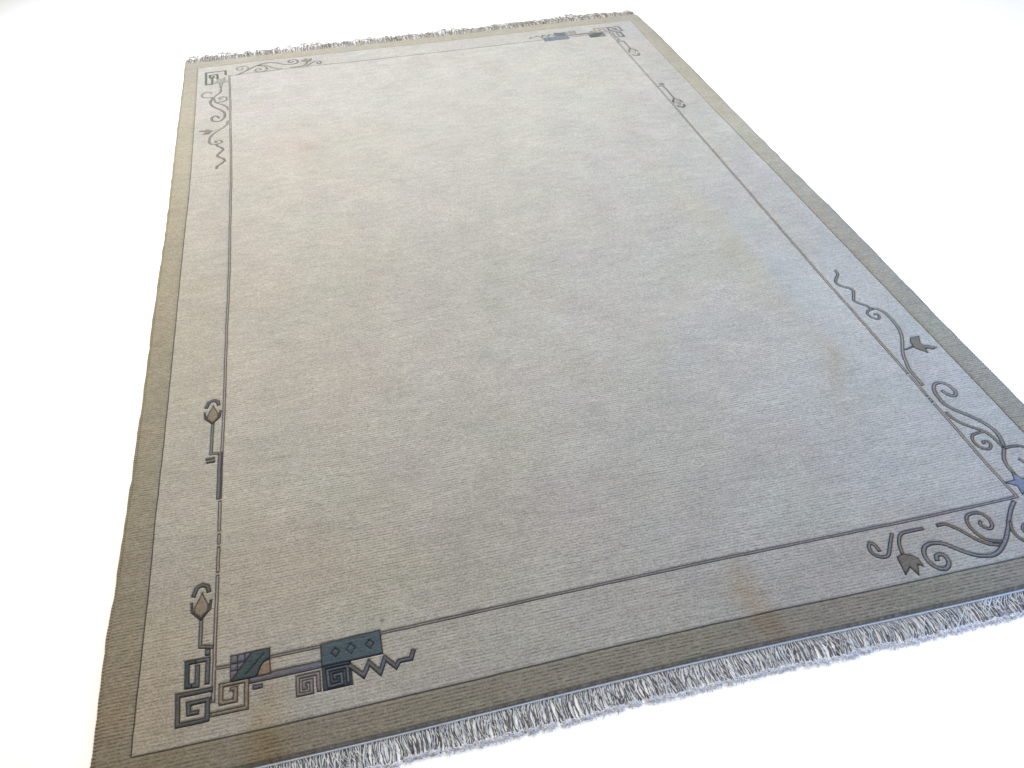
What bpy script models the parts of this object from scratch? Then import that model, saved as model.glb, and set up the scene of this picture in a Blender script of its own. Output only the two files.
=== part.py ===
# Hand-knotted wool rug of about 2 x 3 m, lying flat: one thick pile cloth, a wool-wrapped
# selvedge along each long side, and at each short end a woven strip whose warp ends
# hang out as a fringe, with a twisted header cord along it.
# Metres, +Z up. The origin is on the floor, under the middle of the rug.
# X runs across the rug, along the rows of knots, and Y along its length.

import math
import random

import bmesh
import bpy

# Driving sizes
RUG_WIDTH = 2.023  # over both selvedges, from the widest point of each side
PILE_LENGTH = 2.985  # pile only, without end strips and fringe
PILE_HEIGHT = 0.012  # foundation and pile together
PILE_EDGE_ROUND = 0.004  # how far the pile rounds off at the rug's rim
GAP = 0.0003  # between pieces that touch

SELVEDGE_DIAMETER = 0.010

STRIP_DEPTH = 0.008  # woven strip, from the pile's end to the roots of the fringe
STRIP_HEIGHT = 0.0035
STRIP_INSET = 0.002  # the strip's ends, inside the rug's sides
HEADER_DIAMETER = 0.003
HEADER_FROM_PILE = 0.0056  # the header cord's centre line, from the pile's end

STRANDS_PER_END = 124
FRINGE_REACH = 0.057  # the longest strand, from the strip's front
STRAND_SHORTEST = 0.80  # of the longest

# The fringe leans in bunches: the sideways shift of the tips, as slow waves along the end
LEAN_JITTER = 0.0012
LEAN_WAVES = (
    # shift, wave length
    (0.0055, 0.31),
    (0.0035, 0.18),
)
# Each lock is drawn out in steps: shares of its length, of its lean, of its column's
# width and of the strip's height
STRAND_STEPS = (
    # along, lean, width, height
    (0.28, 0.15, 0.55, 1.00),
    (0.70, 0.60, 0.50, 0.90),
    (1.00, 1.00, 0.32, 0.60),
)

# How far each long side lies inside the widest line, in metres, at stations along Y
SIDE_LINE = (
    # y, left inset, right inset
    (-1.50, 0.0030, 0.0060),
    (-1.25, 0.0000, 0.0050),
    (-1.00, 0.0070, 0.0045),
    (-0.75, 0.0113, 0.0055),
    (-0.50, 0.0135, 0.0015),
    (-0.25, 0.0143, 0.0000),
    (0.00, 0.0168, 0.0040),
    (0.25, 0.0198, 0.0049),
    (0.50, 0.0196, 0.0065),
    (0.75, 0.0183, 0.0067),
    (1.00, 0.0183, 0.0064),
    (1.25, 0.0190, 0.0086),
    (1.50, 0.0165, 0.0165),
)
END_WAVE = 0.0030  # slow wave of the two ends, peak to middle
END_WAVE_LENGTH = 1.30

# Where the rug stands off the floor in soft creases
CREASES = (
    # centre x, centre y, half length, half width, height, degrees from X
    (0.680, -0.420, 0.520, 0.105, 0.0070, 91.0),
    (0.330, -0.640, 0.260, 0.110, 0.0040, 52.0),
    (-0.240, 0.530, 0.420, 0.120, 0.0045, 3.0),
    (-0.560, 0.640, 0.200, 0.100, 0.0050, 70.0),
)

# Cells of the pile cloth across and along
CELLS_ACROSS = 29
CELLS_ALONG = 37

# Linear colours of the yarns
CREAM_WOOL = (0.56, 0.52, 0.45)
OLIVE_WOOL = (0.27, 0.24, 0.18)
COTTON = (0.62, 0.60, 0.55)


def start_scene(name):
    """Empties the scene and returns a collection for the rug."""
    for thing in list(bpy.data.objects):
        bpy.data.objects.remove(thing, do_unlink=True)
    collection = bpy.data.collections.new(name)
    bpy.context.scene.collection.children.link(collection)
    return collection


def yarn_material(name, colour, roughness):
    """A matt yarn as a Principled material."""
    material = bpy.data.materials.new(name)
    material.use_nodes = True
    shader = material.node_tree.nodes["Principled BSDF"]
    shader.inputs["Base Color"].default_value = (*colour, 1.0)
    shader.inputs["Roughness"].default_value = roughness
    shader.inputs["Metallic"].default_value = 0.0
    return material


def smooth_between(share):
    """Eases a share from 0 to 1."""
    return share * share * (3.0 - 2.0 * share)


def side_inset(y, column):
    """How far one long side lies inside the widest line at y. Column 1 is left, 2 right."""
    y = min(max(y, SIDE_LINE[0][0]), SIDE_LINE[-1][0])
    inset = 0.0
    for row, after in zip(SIDE_LINE, SIDE_LINE[1:]):
        if row[0] <= y <= after[0]:
            share = smooth_between((y - row[0]) / (after[0] - row[0]))
            inset = row[column] + (after[column] - row[column]) * share
    return inset


def along_stations():
    """The Y values of the cloth's rows of points."""
    return [PILE_LENGTH * (i / CELLS_ALONG - 0.5) for i in range(CELLS_ALONG + 1)]


def side_x(y, column):
    """X of a selvedge's outer side at y, with the widest station on the full width."""
    least = min(side_inset(station, column) for station in along_stations())
    reach = RUG_WIDTH / 2.0 - side_inset(y, column) + least
    return -reach if column == 1 else reach


def end_shift(x):
    """How far the ends shift inwards at x, from 0 to twice the wave's height."""
    return END_WAVE * (1.0 + math.cos(2.0 * math.pi * x / END_WAVE_LENGTH))


def fade(distance):
    """A smooth hump: 1 at 0, and exactly 0 from 1 on."""
    if abs(distance) >= 1.0:
        return 0.0
    return math.cos(math.pi * distance / 2.0) ** 2


def lift(x, y):
    """Height of the rug's back above the floor, 0 wherever it lies flat."""
    height = 0.0
    for centre_x, centre_y, half_length, half_width, peak, degrees in CREASES:
        turn = math.radians(degrees)
        along = (x - centre_x) * math.cos(turn) + (y - centre_y) * math.sin(turn)
        across = (y - centre_y) * math.cos(turn) - (x - centre_x) * math.sin(turn)
        height += peak * fade(along / half_length) * fade(across / half_width)
    return height


def object_from(bm, name, collection, material):
    """Turns a bmesh into a named object in the rug's collection."""
    mesh = bpy.data.meshes.new(name)
    bmesh.ops.recalc_face_normals(bm, faces=bm.faces)
    bm.to_mesh(mesh)
    bm.free()
    mesh.materials.append(material)
    made = bpy.data.objects.new(name, mesh)
    collection.objects.link(made)
    return made


def pile_cloth(collection, material):
    """The knotted cloth: a grid on its creases, raised to the pile's height and rounded at its rim."""
    bm = bmesh.new()
    bmesh.ops.create_grid(bm, x_segments=CELLS_ACROSS, y_segments=CELLS_ALONG, size=0.5)
    margin = SELVEDGE_DIAMETER + GAP
    for vertex in bm.verts:
        across, along = vertex.co.x + 0.5, 2.0 * vertex.co.y
        y = PILE_LENGTH / 2.0 * along
        left = side_x(y, 1) + margin
        right = side_x(y, 2) - margin
        x = left + (right - left) * across
        # The end wave takes hold only towards the ends.
        y -= end_shift(x) * along * abs(along)
        vertex.co = (x, y, lift(x, y))
    raised = bmesh.ops.extrude_face_region(bm, geom=bm.faces[:])["geom"]
    top = {part for part in raised if isinstance(part, bmesh.types.BMVert)}
    bmesh.ops.translate(bm, verts=list(top), vec=(0.0, 0.0, PILE_HEIGHT))
    bmesh.ops.recalc_face_normals(bm, faces=bm.faces)
    rim = [
        edge
        for edge in bm.edges
        if set(edge.verts) <= top
        and any(abs(face.normal.z) < 0.5 for face in edge.link_faces)
    ]
    bmesh.ops.bevel(
        bm, geom=rim, offset=PILE_EDGE_ROUND, segments=2, profile=0.5, affect="EDGES"
    )
    cloth = object_from(bm, "pile_cloth", collection, material)
    cloth.data.shade_smooth()
    cloth.data.set_sharp_from_angle(angle=math.radians(50))
    return cloth


def tube(name, points, diameter, collection, material):
    """A cord through the points: a bevelled curve with filled caps."""
    curve = bpy.data.curves.new(name, "CURVE")
    curve.dimensions = "3D"
    curve.bevel_depth = diameter / 2.0
    curve.bevel_resolution = 2
    curve.use_fill_caps = True
    spline = curve.splines.new("POLY")
    spline.points.add(len(points) - 1)
    for point, place in zip(spline.points, points):
        point.co = (*place, 1.0)
    curve.materials.append(material)
    cord = bpy.data.objects.new(name, curve)
    collection.objects.link(cord)
    return cord


def selvedge(name, column, collection, material):
    """The wool-wrapped edge along one long side, on the same stations as the pile cloth."""
    radius = SELVEDGE_DIAMETER / 2.0
    inwards = radius if column == 1 else -radius
    points = [(side_x(y, column) + inwards, y, radius) for y in along_stations()]
    # The two ends stop where the end strips begin.
    for index, way in ((0, 1.0), (-1, -1.0)):
        x, y, z = points[index]
        points[index] = (x, y + way * end_shift(x), z)
    return tube(name, points, SELVEDGE_DIAMETER, collection, material)


def strip_sides(way):
    """X of the woven strip's two ends: just inside the rug's sides."""
    y = way * PILE_LENGTH / 2.0
    return side_x(y, 1) + STRIP_INSET, side_x(y, 2) - STRIP_INSET


def strip_block(bm, left, right):
    """The woven strip as a block, cut across into a column for each lock."""
    bmesh.ops.create_cube(bm, size=1.0)
    for vertex in bm.verts:
        vertex.co.x = left + (right - left) * (vertex.co.x + 0.5)
        vertex.co.y = (vertex.co.y + 0.5) * STRIP_DEPTH
        vertex.co.z = (vertex.co.z + 0.5) * STRIP_HEIGHT
    long_edges = [
        edge
        for edge in bm.edges
        if abs(edge.verts[0].co.x - edge.verts[1].co.x) > STRIP_DEPTH
    ]
    cuts = STRANDS_PER_END - 1
    bmesh.ops.subdivide_edges(bm, edges=long_edges, cuts=cuts, use_grid_fill=True)


def front_faces(bm):
    """The strip's front columns, in order along X."""
    faces = [
        face
        for face in bm.faces
        if min(vertex.co.y for vertex in face.verts) > STRIP_DEPTH - GAP
    ]
    return sorted(faces, key=lambda face: face.calc_center_median().x)


def draw_out(bm, face, length, lean, width):
    """Draws one lock out of a front column, flat on the floor, step by step."""
    root = face.calc_center_median()
    for along, lean_share, width_share, height_share in STRAND_STEPS:
        face = bmesh.ops.extrude_discrete_faces(bm, faces=[face])["faces"][0]
        middle = face.calc_center_median()
        for vertex in face.verts:
            side = math.copysign(width * width_share / 2.0, vertex.co.x - middle.x)
            height = STRIP_HEIGHT * height_share if vertex.co.z > middle.z else 0.0
            vertex.co.x = root.x + lean * lean_share + side
            vertex.co.y = root.y + length * along
            vertex.co.z = height


def lean_at(x, phase):
    """Sideways shift of the tips: slow waves, so that neighbours never cross."""
    return sum(
        shift * math.sin(2.0 * math.pi * x / length + phase)
        for shift, length in LEAN_WAVES
    )


def strand_lengths(roots, chance):
    """Uneven lengths, with the furthest tip exactly at the fringe's reach."""
    lengths = [FRINGE_REACH * chance.uniform(STRAND_SHORTEST, 1.0) for _ in roots]
    furthest = max(length - end_shift(x) for x, length in zip(roots, lengths))
    return [length + FRINGE_REACH - furthest for length in lengths]


def fringe(name, way, collection, material, seed):
    """A woven strip with its fringe, at the near end for way -1 and the far end for way 1."""
    chance = random.Random(seed)
    left, right = strip_sides(way)
    column_width = (right - left) / STRANDS_PER_END
    bm = bmesh.new()
    strip_block(bm, left, right)
    faces = front_faces(bm)
    roots = [face.calc_center_median().x for face in faces]
    for face, x, length in zip(faces, roots, strand_lengths(roots, chance)):
        lean = lean_at(x, seed) + chance.uniform(-LEAN_JITTER, LEAN_JITTER)
        draw_out(bm, face, length, lean, column_width)
    start = PILE_LENGTH / 2.0 + GAP
    for vertex in bm.verts:
        vertex.co.y = way * (start + vertex.co.y - end_shift(vertex.co.x))
    return object_from(bm, name, collection, material)


def header_cord(name, way, collection, material):
    """The twisted cotton cord that lies along the woven strip, just behind the fringe."""
    left, right = strip_sides(way)
    centre_z = STRIP_HEIGHT + GAP + HEADER_DIAMETER / 2.0
    points = []
    for i in range(CELLS_ACROSS + 1):
        x = left + (right - left) * i / CELLS_ACROSS
        y = PILE_LENGTH / 2.0 + HEADER_FROM_PILE - end_shift(x)
        points.append((x, way * y, centre_z))
    return tube(name, points, HEADER_DIAMETER, collection, material)


def build():
    """Makes every piece of the rug."""
    rug = start_scene("nepalese_rug")
    cream = yarn_material("cream_wool", CREAM_WOOL, 0.95)
    olive = yarn_material("olive_wool", OLIVE_WOOL, 0.95)
    cotton = yarn_material("warp_cotton", COTTON, 0.9)
    pile_cloth(rug, cream)
    selvedge("selvedge_left", 1, rug, olive)
    selvedge("selvedge_right", 2, rug, olive)
    for end, way, seed in (("near", -1.0, 3), ("far", 1.0, 8)):
        fringe("fringe_" + end, way, rug, cotton, seed)
        header_cord("header_cord_" + end, way, rug, cotton)


build()
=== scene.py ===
# A hand-knotted wool rug, 2 x 3 m, lying on a pale floor: cream pile in visible rows, an
# olive band, a carved frame line with frets, scrolls, buds and leaves at its corners,
# wool-wrapped selvedges, and a woven strip, header cord and cotton fringe at each end.
# Metres, +Z up. X runs across the rug, along its rows of knots, and Y along its length.

import math

import bpy
import numpy as np
from mathutils import Matrix, Vector
from mathutils.geometry import delaunay_2d_cdt
from mathutils.kdtree import KDTree


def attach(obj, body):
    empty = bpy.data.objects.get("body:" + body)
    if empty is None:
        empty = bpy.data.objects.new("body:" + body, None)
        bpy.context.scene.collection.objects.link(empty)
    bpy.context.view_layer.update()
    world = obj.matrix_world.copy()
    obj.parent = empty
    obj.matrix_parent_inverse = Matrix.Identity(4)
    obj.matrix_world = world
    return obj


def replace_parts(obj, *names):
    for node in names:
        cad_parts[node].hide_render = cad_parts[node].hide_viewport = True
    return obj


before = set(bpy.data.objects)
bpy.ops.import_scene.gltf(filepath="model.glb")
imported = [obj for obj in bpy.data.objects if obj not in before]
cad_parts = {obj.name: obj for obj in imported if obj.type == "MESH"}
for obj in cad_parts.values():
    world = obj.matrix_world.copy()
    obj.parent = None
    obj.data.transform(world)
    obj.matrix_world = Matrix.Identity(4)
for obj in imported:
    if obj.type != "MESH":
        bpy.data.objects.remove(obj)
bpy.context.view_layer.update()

MM = 0.001

# The rug's own sizes, as in its solids
RUG_WIDTH = 2.023
PILE_LENGTH = 2.985
PILE_HEIGHT = 0.012
PILE_EDGE_ROUND = 0.004
GAP = 0.0003
SELVEDGE_DIAMETER = 0.010
STRIP_DEPTH = 0.008
STRIP_HEIGHT = 0.0035
STRIP_INSET = 0.002
HEADER_DIAMETER = 0.003
HEADER_FROM_PILE = 0.0056
FRINGE_REACH = 0.057
SIDE_LINE = np.array(
    (
        # y, left inset, right inset
        (-1.50, 0.0030, 0.0060),
        (-1.25, 0.0000, 0.0050),
        (-1.00, 0.0070, 0.0045),
        (-0.75, 0.0113, 0.0055),
        (-0.50, 0.0135, 0.0015),
        (-0.25, 0.0143, 0.0000),
        (0.00, 0.0168, 0.0040),
        (0.25, 0.0198, 0.0049),
        (0.50, 0.0196, 0.0065),
        (0.75, 0.0183, 0.0067),
        (1.00, 0.0183, 0.0064),
        (1.25, 0.0190, 0.0086),
        (1.50, 0.0165, 0.0165),
    )
)
SIDE_STATIONS = 37
END_WAVE = 0.0030
END_WAVE_LENGTH = 1.30
CREASES = (
    # centre x, centre y, half length, half width, height, degrees from X
    (0.680, -0.420, 0.520, 0.105, 0.0070, 91.0),
    (0.330, -0.640, 0.260, 0.110, 0.0040, 52.0),
    (-0.240, 0.530, 0.420, 0.120, 0.0045, 3.0),
    (-0.560, 0.640, 0.200, 0.100, 0.0050, 70.0),
)
HALF_WIDTH = RUG_WIDTH / 2.0 - SELVEDGE_DIAMETER - GAP  # of the pile
HALF_LENGTH = PILE_LENGTH / 2.0

# The knotted pattern, as it would lie on a rug with straight sides
DRAWN = 0.0009957  # metres in one unit of the drawn shapes
PATTERN_HALF_LENGTH = 1.4985
LINE_AT = (0.8080, 1.3130)  # centre of the frame line
LINE_WIDTH = 0.0052
BAND_AT = (0.9390, 1.4430)  # inner edge of the olive band
LEVELS = np.array(
    (
        # where a level line of the pattern lies on the floor
        (-PATTERN_HALF_LENGTH, -HALF_LENGTH),
        (-BAND_AT[1], -1.4370),
        (-LINE_AT[1], -1.3070),
        (LINE_AT[1], 1.3190),
        (BAND_AT[1], 1.4300),
        (PATTERN_HALF_LENGTH, HALF_LENGTH),
    )
)
DRIFT = np.array(
    (
        # y, then the drift to the right, in mm: left band, left line, right line, right band
        (-1.5, -4.7, -5.7, 0.3, 5.3),
        (-1.0, -0.2, -0.7, -2.2, 3.3),
        (-0.5, 4.3, 5.8, -4.0, 1.8),
        (0.0, 6.8, 11.8, -2.0, 2.0),
        (0.5, 10.8, 12.3, -0.2, -2.7),
        (1.0, 7.3, 6.3, -0.5, -2.2),
        (1.5, 1.8, -4.7, -3.7, 1.3),
    )
)

# The pile's own detail
ROWS = 454  # of knots, along the rug's length
ROW_PITCH = 2.0 * PATTERN_HALF_LENGTH / ROWS
ROW_DEPTH = 0.0012  # between two rows, where the gap is deepest
GROOVE_HALF = 0.0020  # half width of a carved groove
GROOVE_DEPTH = 0.0034
CUT_SHARPNESS = 1.0  # how much narrower a thin cut is than a groove
SKIRT = 0.0086  # how far the cut pile reaches down the rug's ends
SKIRT_LEAN = 0.0010  # and how far it leans out there
OVERHANG = 0.003  # of the pile, over the selvedges

# Camera: at the photograph's place, held by hand, a little askew
CAMERA_PLACE = (-0.4469, -2.1132, 1.3755)
CAMERA_LOOKS = (0.14329, 0.70906, -0.69044)
CAMERA_RIGHT = (0.97509, -0.2205, -0.02408)
CAMERA_FOCAL = 819.77  # pixels, on a picture 1024 wide
CAMERA_CENTRE = 494.87  # pixel column of the lens centre
PICTURE_WIDTH = 1024.0
SENSOR = 36.0


def make_camera():
    """The camera of the photograph."""
    looks = Vector(CAMERA_LOOKS).normalized()
    right = Vector(CAMERA_RIGHT)
    right = (right - right.dot(looks) * looks).normalized()
    up = right.cross(looks)
    data = bpy.data.cameras.new("camera")
    data.sensor_width = SENSOR
    data.lens = CAMERA_FOCAL / PICTURE_WIDTH * SENSOR
    data.shift_x = (PICTURE_WIDTH / 2.0 - CAMERA_CENTRE) / PICTURE_WIDTH
    camera = bpy.data.objects.new("camera", data)
    turn = Matrix((right, up, -looks)).transposed().to_4x4()
    camera.matrix_world = Matrix.Translation(CAMERA_PLACE) @ turn
    bpy.context.scene.collection.objects.link(camera)
    bpy.context.scene.camera = camera


# Outline, creases and noise


def eased(share):
    """Eases a share from 0 to 1."""
    share = np.clip(share, 0.0, 1.0)
    return share * share * (3.0 - 2.0 * share)


def table(y, rows, column):
    """A table's value at y, eased between its rows."""
    stations, values = rows[:, 0], rows[:, column]
    y = np.clip(y, stations[0], stations[-1])
    row = np.clip(np.searchsorted(stations, y, side="right") - 1, 0, len(stations) - 2)
    share = eased((y - stations[row]) / (stations[row + 1] - stations[row]))
    return values[row] + (values[row + 1] - values[row]) * share


def side_x(y, column):
    """X of a selvedge's outer side at y. Column 1 is left, 2 right."""
    stations = np.linspace(-HALF_LENGTH, HALF_LENGTH, SIDE_STATIONS + 1)
    least = table(stations, SIDE_LINE, column).min()
    reach = RUG_WIDTH / 2.0 - table(y, SIDE_LINE, column) + least
    return -reach if column == 1 else reach


def end_shift(x):
    """How far the ends shift inwards at x."""
    return END_WAVE * (1.0 + np.cos(2.0 * math.pi * x / END_WAVE_LENGTH))


def hump(distance):
    """A smooth hump: 1 at 0, and exactly 0 from 1 on."""
    return np.cos(math.pi / 2.0 * np.clip(np.abs(distance), 0.0, 1.0)) ** 2


def lift(x, y):
    """Height of the rug's back above the floor."""
    height = np.zeros_like(x)
    for centre_x, centre_y, half_length, half_width, peak, degrees in CREASES:
        turn = math.radians(degrees)
        along = (x - centre_x) * math.cos(turn) + (y - centre_y) * math.sin(turn)
        across = (y - centre_y) * math.cos(turn) - (x - centre_x) * math.sin(turn)
        height += peak * hump(along / half_length) * hump(across / half_width)
    return height


NOISE_CELLS = 512


def noise(x, y, size_x, size_y, seed):
    """Smooth noise from -1 to 1, in cells of the given size."""
    cells = np.random.default_rng(seed).uniform(-1.0, 1.0, (NOISE_CELLS, NOISE_CELLS))
    across, along = np.asarray(x) / size_x, np.asarray(y) / size_y
    column, row = np.floor(across).astype(int), np.floor(along).astype(int)
    right, up = eased(across - column), eased(along - row)
    low = (1.0 - right) * cells[row % NOISE_CELLS, column % NOISE_CELLS]
    low = low + right * cells[row % NOISE_CELLS, (column + 1) % NOISE_CELLS]
    high = (1.0 - right) * cells[(row + 1) % NOISE_CELLS, column % NOISE_CELLS]
    high = high + right * cells[(row + 1) % NOISE_CELLS, (column + 1) % NOISE_CELLS]
    return low * (1.0 - up) + high * up


def wave(along, size, seed):
    """Smooth noise from -1 to 1 along one line."""
    return noise(along, 0.0 * along, size, 1.0, seed)


WANDERS = (
    # size along X, size along Y, shift in X, shift in Y, seed
    (0.110, 0.080, 0.0006, 0.0005, 21),
    (0.035, 0.022, 0.0004, 0.0005, 31),
)
WANDER_FREE = 0.030  # from the pile's rim, where it wanders no more
ROW_SWAY = 0.0024  # how far the field's rows stray from straight
ROW_SWAY_FREE = 0.150  # from the frame line, where they stray as much as that


def place(u, v):
    """Floor X and Y of points of the pattern, which wanders a little as knotting does."""
    y = np.interp(v, LEVELS[:, 0], LEVELS[:, 1])
    lines = np.array([-HALF_WIDTH, -BAND_AT[0], -LINE_AT[0], LINE_AT[0], BAND_AT[0], HALF_WIDTH])
    edge = SELVEDGE_DIAMETER + GAP
    drifts = [lines[column] + MM * table(y, DRIFT, column) for column in range(1, 5)]
    floor = np.stack([side_x(y, 1) + edge, *drifts, side_x(y, 2) - edge])
    part = np.clip(np.searchsorted(lines, u, side="right") - 1, 0, len(lines) - 2)
    number = np.arange(len(u))
    low, high = floor[part, number], floor[part + 1, number]
    x = low + (high - low) * (u - lines[part]) / (lines[part + 1] - lines[part])
    along = y / HALF_LENGTH
    y = y - end_shift(x) * along * np.abs(along)
    free = eased(np.minimum(HALF_WIDTH - np.abs(u), PATTERN_HALF_LENGTH - np.abs(v)) / WANDER_FREE)
    for size_x, size_y, shift_x, shift_y, seed in WANDERS:
        x = x + free * shift_x * noise(u, v, size_x, size_y, seed)
        y = y + free * shift_y * noise(u, v, size_x, size_y, seed + 1)
    free = eased(np.minimum(LINE_AT[0] - np.abs(u), LINE_AT[1] - np.abs(v)) / ROW_SWAY_FREE)
    return x, y + free * ROW_SWAY * noise(u, v, 0.26, 0.30, 12)


# Drawn shapes, in units of the pattern


def stroke(route, width):
    """The outline of a line of yarn along a route, mitred at its corners."""
    route = np.array(route, float)
    steps = np.diff(route, axis=0)
    normals = np.stack([-steps[:, 1], steps[:, 0]], axis=1)
    normals /= np.linalg.norm(steps, axis=1, keepdims=True)
    before, after = np.vstack([normals[:1], normals]), np.vstack([normals, normals[-1:]])
    mitre = before + after
    mitre *= 2.0 / np.maximum((mitre**2).sum(axis=1, keepdims=True), 0.8)
    sides = mitre * width / 2.0
    return np.vstack([route + sides, (route - sides)[::-1]])


def through(points, step=4.0):
    """A smooth route through a few points."""
    points = np.array(points, float)
    ends = np.vstack([2 * points[0] - points[1], points, 2 * points[-1] - points[-2]])
    route = []
    for p0, p1, p2, p3 in zip(ends, ends[1:], ends[2:], ends[3:]):
        count = max(2, round(float(np.linalg.norm(p2 - p1)) / step))
        for share in np.arange(count)[:, None] / count:
            bend = 2 * p1 + (p2 - p0) * share
            bend = bend + (2 * p0 - 5 * p1 + 4 * p2 - p3) * share**2
            route.append((bend + (3 * p1 - p0 - 3 * p2 + p3) * share**3) / 2)
    return np.vstack([*route, points[-1]])


def shape(*points):
    """A closed outline through its corners."""
    return np.array(points, float)


def bar(left, bottom, right, top):
    """A plain oblong."""
    return shape((left, bottom), (right, bottom), (right, top), (left, top))


def thread(*points):
    """A thin cut along a route: its outline runs there and back."""
    route = np.array(points, float)
    return np.vstack([route, route[-2:0:-1]])


def lozenge(x, y, half_width, half_height):
    """A diamond."""
    return shape((x - half_width, y), (x, y - half_height), (x + half_width, y), (x, y + half_height))


def petal(x, top, bottom, half_width):
    """A bud's pointed petal."""
    tall = top - bottom
    right = [
        (x + 0.30 * half_width, top - 0.19 * tall),
        (x + 0.66 * half_width, top - 0.34 * tall),
        (x + half_width, top - 0.52 * tall),
        (x + 0.94 * half_width, top - 0.70 * tall),
        (x + 0.46 * half_width, top - 0.88 * tall),
    ]
    left = [(2.0 * x - across, up) for across, up in right[::-1]]
    return shape((x, top), *right, (x, bottom), *left)


def star(x, y, outer, inner, points):
    """A star with its first point straight up."""
    angles = math.pi / 2.0 + np.arange(2 * points) * math.pi / points
    radii = np.where(np.arange(2 * points) % 2 == 0, outer, inner)
    return np.stack([x + radii * np.cos(angles), y + radii * np.sin(angles)], axis=1)


LINE_X, LINE_Y = LINE_AT[0] / DRAWN, LINE_AT[1] / DRAWN  # the frame line's centre
LINE_HALF = LINE_WIDTH / DRAWN / 2.0
BREAK_HALF = 3.2  # half of a break in the frame line


def broken_line(x, low, high, breaks):
    """An upright stretch of the frame line, with its breaks."""
    tops = [high, *(at - BREAK_HALF for at in sorted(breaks, reverse=True))]
    bottoms = [*(at + BREAK_HALF for at in sorted(breaks, reverse=True)), low]
    return [
        ("line", bar(x - LINE_HALF, bottom, x + LINE_HALF, top))
        for top, bottom in zip(tops, bottoms)
    ]


def level_line(left, right):
    """A level stretch of the frame line."""
    return ("line", bar(left, -LINE_Y - LINE_HALF, right, -LINE_Y + LINE_HALF))


def bud_on_stem(x, top, stem):
    """A pointed bud between two sepals, under a small arch, on a bent stem."""
    left_sepal = [(x - 19.0, top - 20), (x - 17.0, top - 40), (x - 0.5, top - 59)]
    right_sepal = [(x + 17.0, top - 20), (x + 16.0, top - 40), (x + 2.0, top - 57)]
    arch = [
        (x - 17.0, top - 6),
        (x - 11.5, top + 12),
        (x - 1.0, top + 17.5),
        (x + 9.5, top + 12),
        (x + 12.5, top - 2),
    ]
    return [
        ("dusk", stroke(stem, 5.6)),
        ("bud", petal(x, top, top - 61, 12.5)),
        ("charcoal", stroke(left_sepal, 3.6)),
        ("charcoal", stroke(right_sepal, 3.6)),
        ("slate", stroke(arch, 7.5)),
    ]


UPPER_STEM = ((-836, -689), (-836, -787), (-815.5, -789.5))
LOWER_STEM = ((-838.5, -1201), (-838.5, -1268.5), (-814, -1274))


def fret_upright():
    """Beside the left frame line: two buds on stems, and two square spirals at the corner."""
    small_fret = [
        (-823, -1345),
        (-823, -1297),
        (-860, -1297),
        (-858, -1343),
        (-840.5, -1344),
        (-841.5, -1305),
    ]
    small_fret_side = [(-845, -1297), (-860, -1297), (-858, -1343), (-850, -1343.4)]
    large_fret = [
        (-813, -1357),
        (-872.5, -1357),
        (-869.5, -1411.5),
        (-820.5, -1411),
        (-821, -1375),
        (-853, -1375),
        (-852, -1393.5),
        (-835, -1394),
    ]
    return [
        *bud_on_stem(-836.4, -630, UPPER_STEM),
        ("charcoal", bar(-846, -804, -827, -798)),
        ("charcoal", bar(-844, -813, -826, -808)),
        ("violet", bar(-819, -923, -812, -786)),
        *bud_on_stem(-839.3, -1152, LOWER_STEM),
        ("slate", bar(-828.6, -1289, -819.6, -1277)),
        ("slate", stroke(small_fret, 7.6)),
        ("teal", stroke(small_fret_side, 7.6)),
        ("charcoal", stroke(large_fret, 7.4)),
    ]


def fret_level():
    """Along the near frame line: blocks of checks and lozenges, square spirals and a zigzag."""
    inner_spiral = [
        (-578, -1401),
        (-577.5, -1369),
        (-613, -1369),
        (-612, -1399),
        (-589, -1398.5),
        (-589.5, -1380),
        (-601, -1380.5),
        (-600.5, -1389),
    ]
    beige_spiral = [
        (-816, -1404.5),
        (-754.5, -1404.5),
        (-754.5, -1353.5),
        (-798.5, -1353.5),
        (-798.5, -1386.5),
        (-773.5, -1387),
        (-773, -1364.5),
        (-783, -1364.5),
    ]
    mauve_spiral = [
        (-629.5, -1404),
        (-629.5, -1370),
        (-665.5, -1370),
        (-665.5, -1402.5),
        (-642, -1402.5),
        (-642, -1380.5),
        (-655, -1380.5),
        (-655, -1392),
        (-649, -1392),
    ]
    zigzag = [
        (-575, -1367),
        (-551, -1394),
        (-538.5, -1372),
        (-521.5, -1395),
        (-510, -1370),
        (-492.5, -1391),
        (-486, -1381.5),
        (-465, -1381.5),
        (-458, -1366),
    ]
    return [
        ("beige", stroke(beige_spiral, 7.0)),
        ("violet", bar(-743.5, -1374, -727, -1367)),
        ("violet", bar(-750, -1361, -622, -1348)),
        ("checks", bar(-783, -1350, -713, -1300)),
        ("haze", bar(-770.7, -1315.7, -757.9, -1300)),
        ("haze", bar(-783, -1329.3, -770.7, -1315.7)),
        ("haze", bar(-757.9, -1329.3, -745, -1315.7)),
        ("haze", bar(-770.7, -1343, -757.9, -1329.3)),
        ("teal", shape((-783, -1350), (-740, -1350), (-713, -1319), (-713, -1300), (-745, -1300))),
        ("rust", shape((-737, -1350), (-731, -1334), (-724, -1325), (-713, -1321), (-713, -1350))),
        ("cut", thread((-755.7, -1341), (-724, -1308.6))),
        ("petrol", shape((-622, -1360), (-513, -1360), (-513, -1311.4), (-622, -1315))),
        ("cut", lozenge(-596.4, -1337, 8.0, 9.0)),
        ("cut", lozenge(-568.6, -1335.7, 8.5, 10.0)),
        ("cut", lozenge(-534.3, -1335, 7.5, 9.0)),
        ("deep", bar(-622, -1405, -571, -1360)),
        ("slate", stroke(inner_spiral, 6.0)),
        ("mauve", stroke(mauve_spiral, 6.5)),
        ("slate", stroke(zigzag, 7.5)),
    ]


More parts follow.
